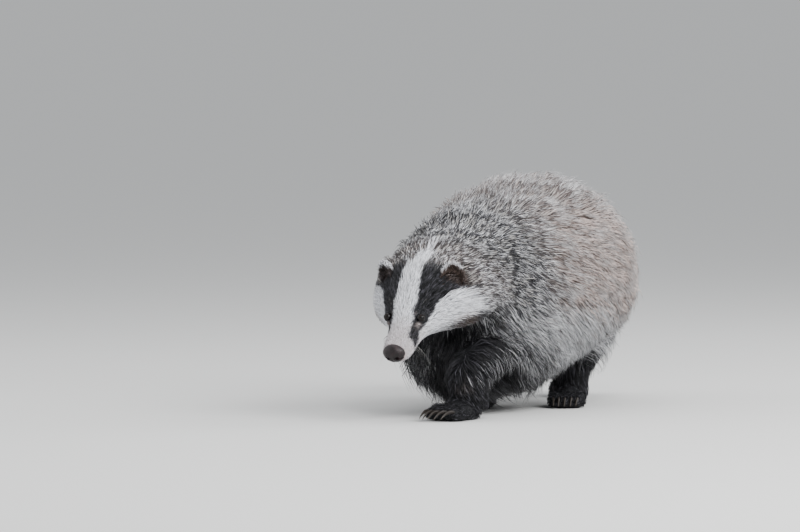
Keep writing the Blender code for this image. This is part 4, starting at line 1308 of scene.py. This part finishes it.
class BADGER_OT_guard_hair(bpy.types.Operator):
    """Grows the long, separate, white-tipped hairs that hang over the shoulders, the chest and the flanks"""
    bl_idname = "badger.guard_hair"
    bl_label = "Guard hair"

    def execute(self, context):
        coat = context.scene.badger_coat
        chance = np.random.default_rng(coat.seed + 2)
        tree = skin_tree()

        def density(points):
            angle = trunk_angle(points)
            band = smooth_step(80.0, 106.0, angle) * (1.0 - smooth_step(140.0, 156.0, angle))
            front = smooth_step(-0.30, -0.26, points[:, 1]) * (1.0 - 0.85 * smooth_step(-0.06, 0.05, points[:, 1]))
            return band * front + 1e-6

        roots, place = sample(trunk_grid(110, 96), density, coat.guard_tufts, chance)
        roots, normals, off = nearest(tree, roots)
        keep = (off < 0.004) & ~near_ears(roots)
        roots, normals, place = roots[keep], normals[keep], place[keep]
        count = len(roots)
        angle = trunk_angle(roots)
        length = coat.fringe_length * chance.uniform(0.85, 1.25, count)
        hang = 0.15 + 0.25 * smooth_step(95.0, 130.0, angle)
        lift = skin_depth(roots[:, 1]) * chance.uniform(1.0, 1.45, count)
        turn = chance.normal(0.0, 0.06, count) + 0.10 * ripple(roots, 0.03)
        paths, normals = trace(tree, roots, normals, trunk_way, length, lift, hang, turn, 3)
        paths = gather(paths, clumps(roots, 4), chance.uniform(0.0, 0.3, count))
        paths[..., 2] = np.maximum(paths[..., 2], 0.004)
        width = 0.46 * coat.body_width * chance.uniform(0.7, 1.3, count)
        marks = np.zeros((count, 4))
        marks[:, 1] = (chance.random(count) < 0.25 + 0.35 * smooth_step(118.0, 140.0, angle)) * 0.9
        hair = np.stack([chance.random(count), np.full(count, 1.0)], axis=1)
        for name, part in (("left", roots[:, 0] > 0), ("right", roots[:, 0] <= 0)):
            part = np.flatnonzero(part)
            coat_piece(
                "guard_hair_" + name, "coat_grey", paths[part], normals[part], width[part], (0.8, 1.0, 0.7),
                marks[part], hair[part], spread(place[part]), bpy.data.materials["coat"])
        return {"FINISHED"}


class BADGER_OT_head_coat(bpy.types.Operator):
    """Grows the short coat of the face and the longer one of the cheeks"""
    bl_idname = "badger.head_coat"
    bl_label = "Head coat"

    def execute(self, context):
        coat = context.scene.badger_coat
        chance = np.random.default_rng(coat.seed + 1)
        tree = skin_tree()

        def density(points):
            near = [np.linalg.norm(points - np.array(eye_frame(side))[:3, 3], axis=1) for side in (-1, 1)]
            lids = 7.0 * (1.0 - smooth_step(0.008, 0.015, np.minimum(*near)))
            return 1.0 + 2.2 * (1.0 - smooth_step(0.03, 0.09, to_head(points)[:, 1])) + lids

        roots, place = sample(head_grid(70, 72), density, coat.head_tufts, chance)
        roots, normals, off = nearest(tree, roots)
        out, back, up = to_head(roots).T
        nose = np.linalg.norm((to_head(roots) - np.array([0.0, 0.0045, 0.0015]))
                              / (np.array([0.0150, 0.0105, 0.0112]) + 0.0006), axis=1)
        clear = np.full(len(roots), 1.0)
        for side in (-1, 1):
            frame_here = np.array(eye_frame(side))
            u, v, w = ((roots - frame_here[:3, 3]) @ frame_here[:3, :3]).T
            ring = np.hypot(u / LID_OPENING[0], v / LID_OPENING[1])
            ring = np.where(np.abs(w) < 0.012, ring, 9.0)
            clear = np.minimum(clear, ring * 0.0046)
        ears = near_ears(roots)
        keep = (nose > 1.0) & (clear > 0.0054) & (off < np.where(ears, 0.0012, 0.004))
        roots, normals, place, clear, ears = (x[keep] for x in (roots, normals, place, clear, ears))
        out, back, up = to_head(roots).T
        count = len(roots)
        round_side = np.abs(out) - up
        side_share = smooth_step(0.02, 0.07, round_side)
        jaw_share = smooth_step(0.024, 0.050, round_side) * smooth_step(0.035, 0.065, back)
        jaw_share = np.maximum(jaw_share, smooth_step(0.115, 0.140, back) * smooth_step(0.045, 0.070, round_side))
        top = table([(0.0, 0.0025), (0.03, 0.0050), (0.06, 0.0080), (0.10, 0.0130), (0.15, 0.0260)], back)
        cheek = table([(0.0, 0.0025), (0.03, 0.0055), (0.06, 0.0130), (0.09, 0.0240), (0.15, 0.0420)], back)
        length = top + (cheek - top) * side_share
        length = np.minimum(length, 0.0017 + 0.60 * np.maximum(clear - 0.0052, 0.0))
        length[ears] = 0.006
        length *= chance.uniform(0.75, 1.2, count)
        depth = follow(HEAD_COAT_DEPTH, np.clip(back, 0.0, 0.15))[:, 1:]
        lift = (depth[:, 0] + (depth[:, 1] - depth[:, 0]) * side_share) * chance.uniform(0.7, 1.1, count)
        lift = np.minimum(lift * (1.0 + 0.35 * jaw_share), 0.45 * length)
        turn = chance.normal(0.0, 0.10, count)
        hang = 0.05 * side_share + 0.55 * jaw_share
        paths, normals = trace(tree, roots, normals, head_way, length, lift, hang, turn, 2)
        paths = gather(paths, clumps(roots, 7), chance.uniform(0.0, 0.5, count))
        width = table([(0.0, 0.0006), (0.05, 0.0008), (0.10, 0.0011), (0.15, 0.0014)], back)
        width *= chance.uniform(0.7, 1.2, count)
        marks = markings(0.5 * (paths[:, 1] + paths[:, 2]) + chance.normal(0.0, 0.0011, (count, 3)))
        speck = (chance.random(count) < 0.26 * (1.0 - smooth_step(0.024, 0.075, back))) & (marks[:, 0] > 0.5)
        marks[speck] = [0.35, 0.75, 0.8, 0.2]
        marks[ears] = [0.0, 1.0, 0.4, 0.0]
        dark = 0.44 * smooth_step(0.112, 0.130, back) * (1.0 - marks[:, 0]) + 0.06 * marks[:, 0]
        dark = chance.random(count) < dark
        marks[:, 1] = np.where(dark, 0.9, marks[:, 1])
        marks[:, 0] = np.where(dark, 0.45 * marks[:, 0], marks[:, 0])
        hair = np.stack([chance.random(count), np.zeros(count)], axis=1)
        for name, part in (("face_left", out > 0), ("face_right", out <= 0)):
            part = np.flatnonzero(part)
            coat_piece(
                "coat_" + name, "coat_white", paths[part], normals[part], width[part], (0.8, 0.85),
                marks[part], hair[part], spread(place[part]), bpy.data.materials["coat"])
        return {"FINISHED"}


class BADGER_OT_ear_coat(bpy.types.Operator):
    """Grows the short coat of the ears, with the white rim"""
    bl_idname = "badger.ear_coat"
    bl_label = "Ear coat"

    def execute(self, context):
        coat = context.scene.badger_coat
        tree = skin_tree()
        for side, name in ((1, "left"), (-1, "right")):
            chance = np.random.default_rng(coat.seed + 10 + side)
            place = ear_frame(side)
            matrix = np.array(place)
            half = np.array(EAR_HALF)
            outside, spot = sample(ball_grid(place, tuple(half), 40, 48), lambda p: np.ones(len(p)), 4200, chance)
            cup = place @ Matrix.Translation((0.0, -0.55 * half[1], 0.0010))
            inside, spot_in = sample(
                ball_grid(cup, (half[0] - EAR_WALL, half[1] * 1.05, half[2] - EAR_WALL), 36, 44),
                lambda p: np.ones(len(p)), 2400, chance)
            roots = np.concatenate([outside, inside])
            inner = np.arange(len(roots)) >= len(outside)
            spot = np.concatenate([spot * [1.0, 0.6], spot_in * [1.0, 0.38] + [0.0, 0.62]])
            roots, normals, off = nearest(tree, roots)
            local = (roots - matrix[:3, 3]) @ matrix[:3, :3]
            up = local[:, 2] / half[2]
            keep = (off < 0.0025) & near_ears(roots)
            roots, normals, inner, spot, local, up = (x[keep] for x in (roots, normals, inner, spot, local, up))
            count = len(roots)
            radial = np.hypot(local[:, 0] / half[0], local[:, 2] / half[2])
            rim = np.where(inner, smooth_step(0.765, 0.855, radial), smooth_step(0.83, 0.91, radial))
            length = np.where(inner, 0.0085, 0.0048) * (1.0 - 0.35 * rim) * chance.uniform(0.7, 1.2, count)
            lift = np.where(inner, 0.0026, 0.0010) * chance.uniform(0.6, 1.2, count)
            outward = matrix[:3, :3] @ np.array([0.0, 0.0, 1.0])
            spreadwise = unit(np.stack([local[:, 0], 0 * up, np.maximum(local[:, 2], 0.004)], axis=1))
            outwards = spreadwise @ matrix[:3, :3].T

            def way(points, facing):
                mixed = outward * 0.9 + outwards * 0.5
                return unit(mixed - facing * np.sum(mixed * facing, axis=1, keepdims=True) + 1e-5)

            paths, normals = trace(
                tree, roots, normals, way, length, lift, np.full(count, 0.9), chance.normal(0, 0.15, count), 2)
            white = rim * smooth_step(0.30, 0.52, up + 0.08 * ripple(roots, 0.004))
            if side < 0:
                white = smooth_step(0.48, 0.66, up + 0.08 * ripple(roots, 0.004))
            white *= chance.random(count) < 0.85
            marks = np.zeros((count, 4))
            marks[:, 0] = white
            marks[:, 1] = 1.0 - white
            marks[:, 2] = np.where(inner, 0.60 if side > 0 else 0.25, 0.10)
            width = (np.where(inner, 0.0011, 0.0010) - 0.0003 * rim) * chance.uniform(0.7, 1.2, count)
            hair = np.stack([chance.random(count), np.zeros(count)], axis=1)
            coat_piece("coat_ear_" + name, "coat_black", paths, normals, width, (0.8, 0.85), marks, hair,
                       spread(spot), bpy.data.materials["coat"])
        return {"FINISHED"}


class BADGER_OT_leg_coat(bpy.types.Operator):
    """Grows the coat of the legs and the short coat of the paws"""
    bl_idname = "badger.leg_coat"
    bl_label = "Leg coat"

    def execute(self, context):
        coat = context.scene.badger_coat
        tree = skin_tree()
        for index, (name, leg) in enumerate(LEGS.items()):
            chance = np.random.default_rng(coat.seed + 20 + index)
            heading = np.array(paw_frame(leg))[:3, :3] @ np.array([0.0, -1.0, -0.15])
            number = int(coat.leg_tufts * (0.17 if leg["rear"] else 0.33))
            parts = [(leg_grid(leg), number, True)]
            paws = paw_grids(leg)
            parts += [(grid, 760 if i == 0 else 150, False) for i, grid in enumerate(paws)]
            all_paths, all_normals, widths, marks, spots, hangs = [], [], [], [], [], []
            for i, (grid, number, long) in enumerate(parts):
                roots, spot = sample(grid, lambda p: np.ones(len(p)), number, chance)
                roots, normals, off = nearest(tree, roots)
                keep = (off < (0.0035 if long else 0.0022)) & (roots[:, 2] > 0.0035)
                if long:
                    keep &= roots[:, 2] < 0.148
                roots, normals, spot = roots[keep], normals[keep], spot[keep]
                count = len(roots)
                if not count:
                    continue
                high = smooth_step(0.030, 0.080, roots[:, 2])
                upper = smooth_step(0.045, 0.095, roots[:, 2])
                base = 0.012 + 0.012 * high + 0.018 * upper if long else np.full(count, 0.0100)
                length = base * chance.uniform(0.7, 1.2, count)
                lift = (0.0034 + 0.0045 * high + 0.0030 * upper if long else np.full(count, 0.0028))
                lift = lift * chance.uniform(0.6, 1.2, count)
                side = np.sign(leg["ankle"][0])
                slant = np.array([0.35 * side, 0.45, -1.0])
                flat = slant - normals * (normals @ slant)[:, None]
                outer = (side * flat[:, 0] > 0.10) & (np.linalg.norm(flat, axis=1) > 0.70)
                pale = (chance.random(count) < (0.07 if leg["rear"] else 0.30 * outer) * upper) & long
                hangs.append(pale * 0.75)
                way = leg_way(leg) if leg["rear"] else steady_way(slant)
                paths, normals = trace(
                    tree, roots, normals, way if long else steady_way(heading), length, lift,
                    np.where(pale, 0.3, 0.1), chance.normal(0.0, 0.10, count), 2)
                if long:
                    paths = gather(paths, clumps(roots, 6), chance.uniform(0.0, 0.5, count) * ~pale)
                paths[..., 2] = np.maximum(paths[..., 2], 0.0006)
                all_paths.append(paths)
                all_normals.append(normals)
                widths.append(
                    np.where(pale, 0.00052, 0.0013 if long else 0.0009) * chance.uniform(0.75, 1.2, count))
                mark = np.zeros((count, 4))
                mark[:, 1] = np.where(pale, 0.0, 1.0)
                if not leg["rear"]:
                    wrist = np.linalg.norm(roots - (np.array(leg["ankle"]) + [0.0, -0.024, -0.010]), axis=1)
                    mark[:, 1] -= 0.14 * (1.0 - smooth_step(0.003, 0.016, wrist)) * mark[:, 1]
                    mark[:, 2] = 0.20 * (1.0 - smooth_step(0.003, 0.016, wrist))
                marks.append(mark)
                row, column = divmod(i, 4)
                spots.append((spot + [column, row]) / [4.0, math.ceil(len(parts) / 4)])
            paths, normals = np.concatenate(all_paths), np.concatenate(all_normals)
            hair = np.stack([chance.random(len(paths)), np.concatenate(hangs)], axis=1)
            coat_piece("coat_leg_" + name, "coat_black", paths, normals, np.concatenate(widths), (0.8, 0.85),
                       np.concatenate(marks), hair, spread(np.concatenate(spots)), bpy.data.materials["coat"])
        return {"FINISHED"}


class BADGER_OT_tail_coat(bpy.types.Operator):
    """Grows the brush of the tail"""
    bl_idname = "badger.tail_coat"
    bl_label = "Tail coat"

    def execute(self, context):
        coat = context.scene.badger_coat
        chance = np.random.default_rng(coat.seed + 30)
        tree = skin_tree()
        roots, place = sample(tail_grid(), lambda p: np.ones(len(p)), coat.tail_tufts, chance)
        roots, normals, off = nearest(tree, roots)
        keep = off < 0.004
        roots, normals, place = roots[keep], normals[keep], place[keep]
        count = len(roots)
        length = 0.056 * chance.uniform(0.75, 1.1, count)
        lift = 0.0105 * chance.uniform(0.5, 1.2, count)
        axis = unit(TAIL_TIP - TAIL_ROOT)
        paths, normals = trace(tree, roots, normals, steady_way(axis), length, lift, np.full(count, 0.75),
                               chance.normal(0.0, 0.06, count), 3)
        end = TAIL_TIP[2] - 0.040
        paths[..., 2] = np.maximum(paths[..., 2], end)
        paths = gather(paths, clumps(roots, 8), chance.uniform(0.1, 0.5, count))
        marks = np.tile([0.35, 0.0, 0.35, 0.0], (count, 1))
        marks[:, 0] = chance.uniform(0.1, 0.7, count)
        hair = np.stack([chance.random(count), np.zeros(count)], axis=1)
        width = 0.0015 * chance.uniform(0.7, 1.2, count)
        coat_piece("coat_tail", "coat_grey", paths, normals, width, (0.75, 1.0, 0.62), marks, hair, spread(place),
                   bpy.data.materials["coat"])
        return {"FINISHED"}


class BADGER_OT_whiskers(bpy.types.Operator):
    """Sets the whiskers of the muzzle and the brows"""
    bl_idname = "badger.whiskers"
    bl_label = "Whiskers"

    def execute(self, context):
        chance = np.random.default_rng(context.scene.badger_coat.seed + 40)
        tree = skin_tree()
        starts, lengths, ways = [], [], []
        for side in (-1, 1):
            for i in range(4):
                back = 0.012 + 0.020 * chance.random()
                up = 0.000 - 0.012 * chance.random()
                starts.append(from_head((side * 0.022, back, up)))
                lengths.append(0.022 + 0.016 * chance.random())
                ways.append(HEAD[:3, :3] @ np.array([side * 0.55, -0.45 + 0.4 * chance.random(),
                                                     -0.85 + 0.3 * chance.random()]))
            for i in range(2):
                starts.append(from_head((side * 0.021, 0.066 + 0.003 * i, 0.024)))
                lengths.append(0.022)
                ways.append(HEAD[:3, :3] @ np.array([side * 0.5, 0.9, 0.45]))
        roots, normals, _ = nearest(tree, np.array(starts))
        ways, lengths = unit(np.array(ways)), np.array(lengths)
        share = np.linspace(0.0, 1.0, 9)[None, :, None]
        paths = roots[:, None] + ways[:, None] * lengths[:, None, None] * share
        paths = paths + np.array([0.0, 0.0, -0.22]) * lengths[:, None, None] * share**2
        side = unit(np.cross(ways, normals + 1e-3))
        taper = tuple(np.linspace(1.0, 0.25, 8))
        hair = np.zeros((len(roots), 2))
        whiskers = tuft_mesh(
            "whiskers", paths, unit(np.cross(side, ways)), np.full(len(roots), 0.00020), taper,
            np.tile([1.0, 0, 0, 0], (len(roots), 1)), hair, spread(chance.random((len(roots), 2))),
            bpy.data.materials["whisker"])
        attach(whiskers, "root")
        return {"FINISHED"}


class BADGER_OT_stage(bpy.types.Operator):
    """Sets the floor, the lights and the camera"""
    bl_idname = "badger.stage"
    bl_label = "Stage"

    def execute(self, context):
        middle = Vector(STANCE_SHIFT) + Vector((0.0, 0.0, LOOK_AT_HEIGHT))
        bpy.ops.mesh.primitive_plane_add(size=600.0, location=(0.0, 0.0, 0.0))
        floor = context.object
        floor.name = "floor"
        floor.data.materials.append(bpy.data.materials["floor"])
        turn, tilt = math.radians(CAMERA_AZIMUTH), math.radians(CAMERA_HEIGHT_ANGLE)
        back = Vector((math.sin(turn) * math.cos(tilt), -math.cos(turn) * math.cos(tilt), math.sin(tilt)))
        right = Vector((math.cos(turn), math.sin(turn), 0.0))
        up = right.cross(-back)
        across = (LOOK_AT_PIXEL[0] - PHOTO_SIZE[0] / 2) / PHOTO_SCALE
        raised = (LOOK_AT_PIXEL[1] - PHOTO_SIZE[1] / 2) / PHOTO_SCALE
        target = middle - right * across + up * raised
        camera = bpy.data.cameras.new("camera")
        camera.sensor_width = CAMERA_SENSOR
        camera.lens = PHOTO_SCALE * CAMERA_SENSOR * CAMERA_DISTANCE / PHOTO_SIZE[0]
        view = new_object("camera", camera)
        view.location = target + back * CAMERA_DISTANCE
        view.rotation_euler = (-back).to_track_quat("-Z", "Y").to_euler()
        context.scene.camera = view
        for name, place, size, power in (
                ("key", (2.5, -1.3, 1.9), 1.8, 132.0), ("fill", (-2.4, -1.4, 1.4), 2.6, 28.0),
                ("top", (0.0, 0.3, 2.8), 2.4, 26.0), ("rim", (2.0, 1.9, 1.7), 1.8, 46.0),
                ("catch", (1.5, -2.7, 2.1), 0.5, 32.0)):
            light = bpy.data.lights.new(name, "AREA")
            light.size = size
            light.energy = power
            lamp = new_object(name, light)
            lamp.location = place
            lamp.rotation_euler = (middle - Vector(place)).to_track_quat("-Z", "Y").to_euler()
        world = bpy.data.worlds.new("studio")
        world.use_nodes = True
        world.node_tree.nodes["Background"].inputs["Color"].default_value = (0.90, 0.92, 0.95, 1.0)
        world.node_tree.nodes["Background"].inputs["Strength"].default_value = 0.86
        context.scene.world = world
        return {"FINISHED"}


STEPS = ("skin", "eyes", "nose", "claws", "body_coat", "guard_hair", "head_coat", "ear_coat", "leg_coat", "tail_coat",
         "whiskers", "stage")


class BADGER_PT_panel(bpy.types.Panel):
    """Lists the steps in the sidebar"""
    bl_idname = "BADGER_PT_panel"
    bl_label = "Badger"
    bl_space_type = "VIEW_3D"
    bl_region_type = "UI"
    bl_category = "Badger"

    def draw(self, context):
        for settings in (context.scene.badger_coat, context.scene.badger_colours):
            for name in settings.__annotations__:
                self.layout.prop(settings, name)
        for step in STEPS:
            self.layout.operator("badger." + step)


CLASSES = (
    BadgerCoat, BadgerColours, BADGER_OT_skin, BADGER_OT_eyes, BADGER_OT_nose, BADGER_OT_claws,
    BADGER_OT_body_coat, BADGER_OT_guard_hair, BADGER_OT_head_coat, BADGER_OT_ear_coat, BADGER_OT_leg_coat, BADGER_OT_tail_coat,
    BADGER_OT_whiskers, BADGER_OT_stage, BADGER_PT_panel)


def register():
    for item in CLASSES:
        bpy.utils.register_class(item)
    bpy.types.Scene.badger_coat = PointerProperty(type=BadgerCoat)
    bpy.types.Scene.badger_colours = PointerProperty(type=BadgerColours)


def unregister():
    del bpy.types.Scene.badger_coat
    del bpy.types.Scene.badger_colours
    for item in reversed(CLASSES):
        bpy.utils.unregister_class(item)


def main():
    register()
    materials()
    for step in STEPS:
        getattr(bpy.ops.badger, step)()


if __name__ == "__main__":
    main()
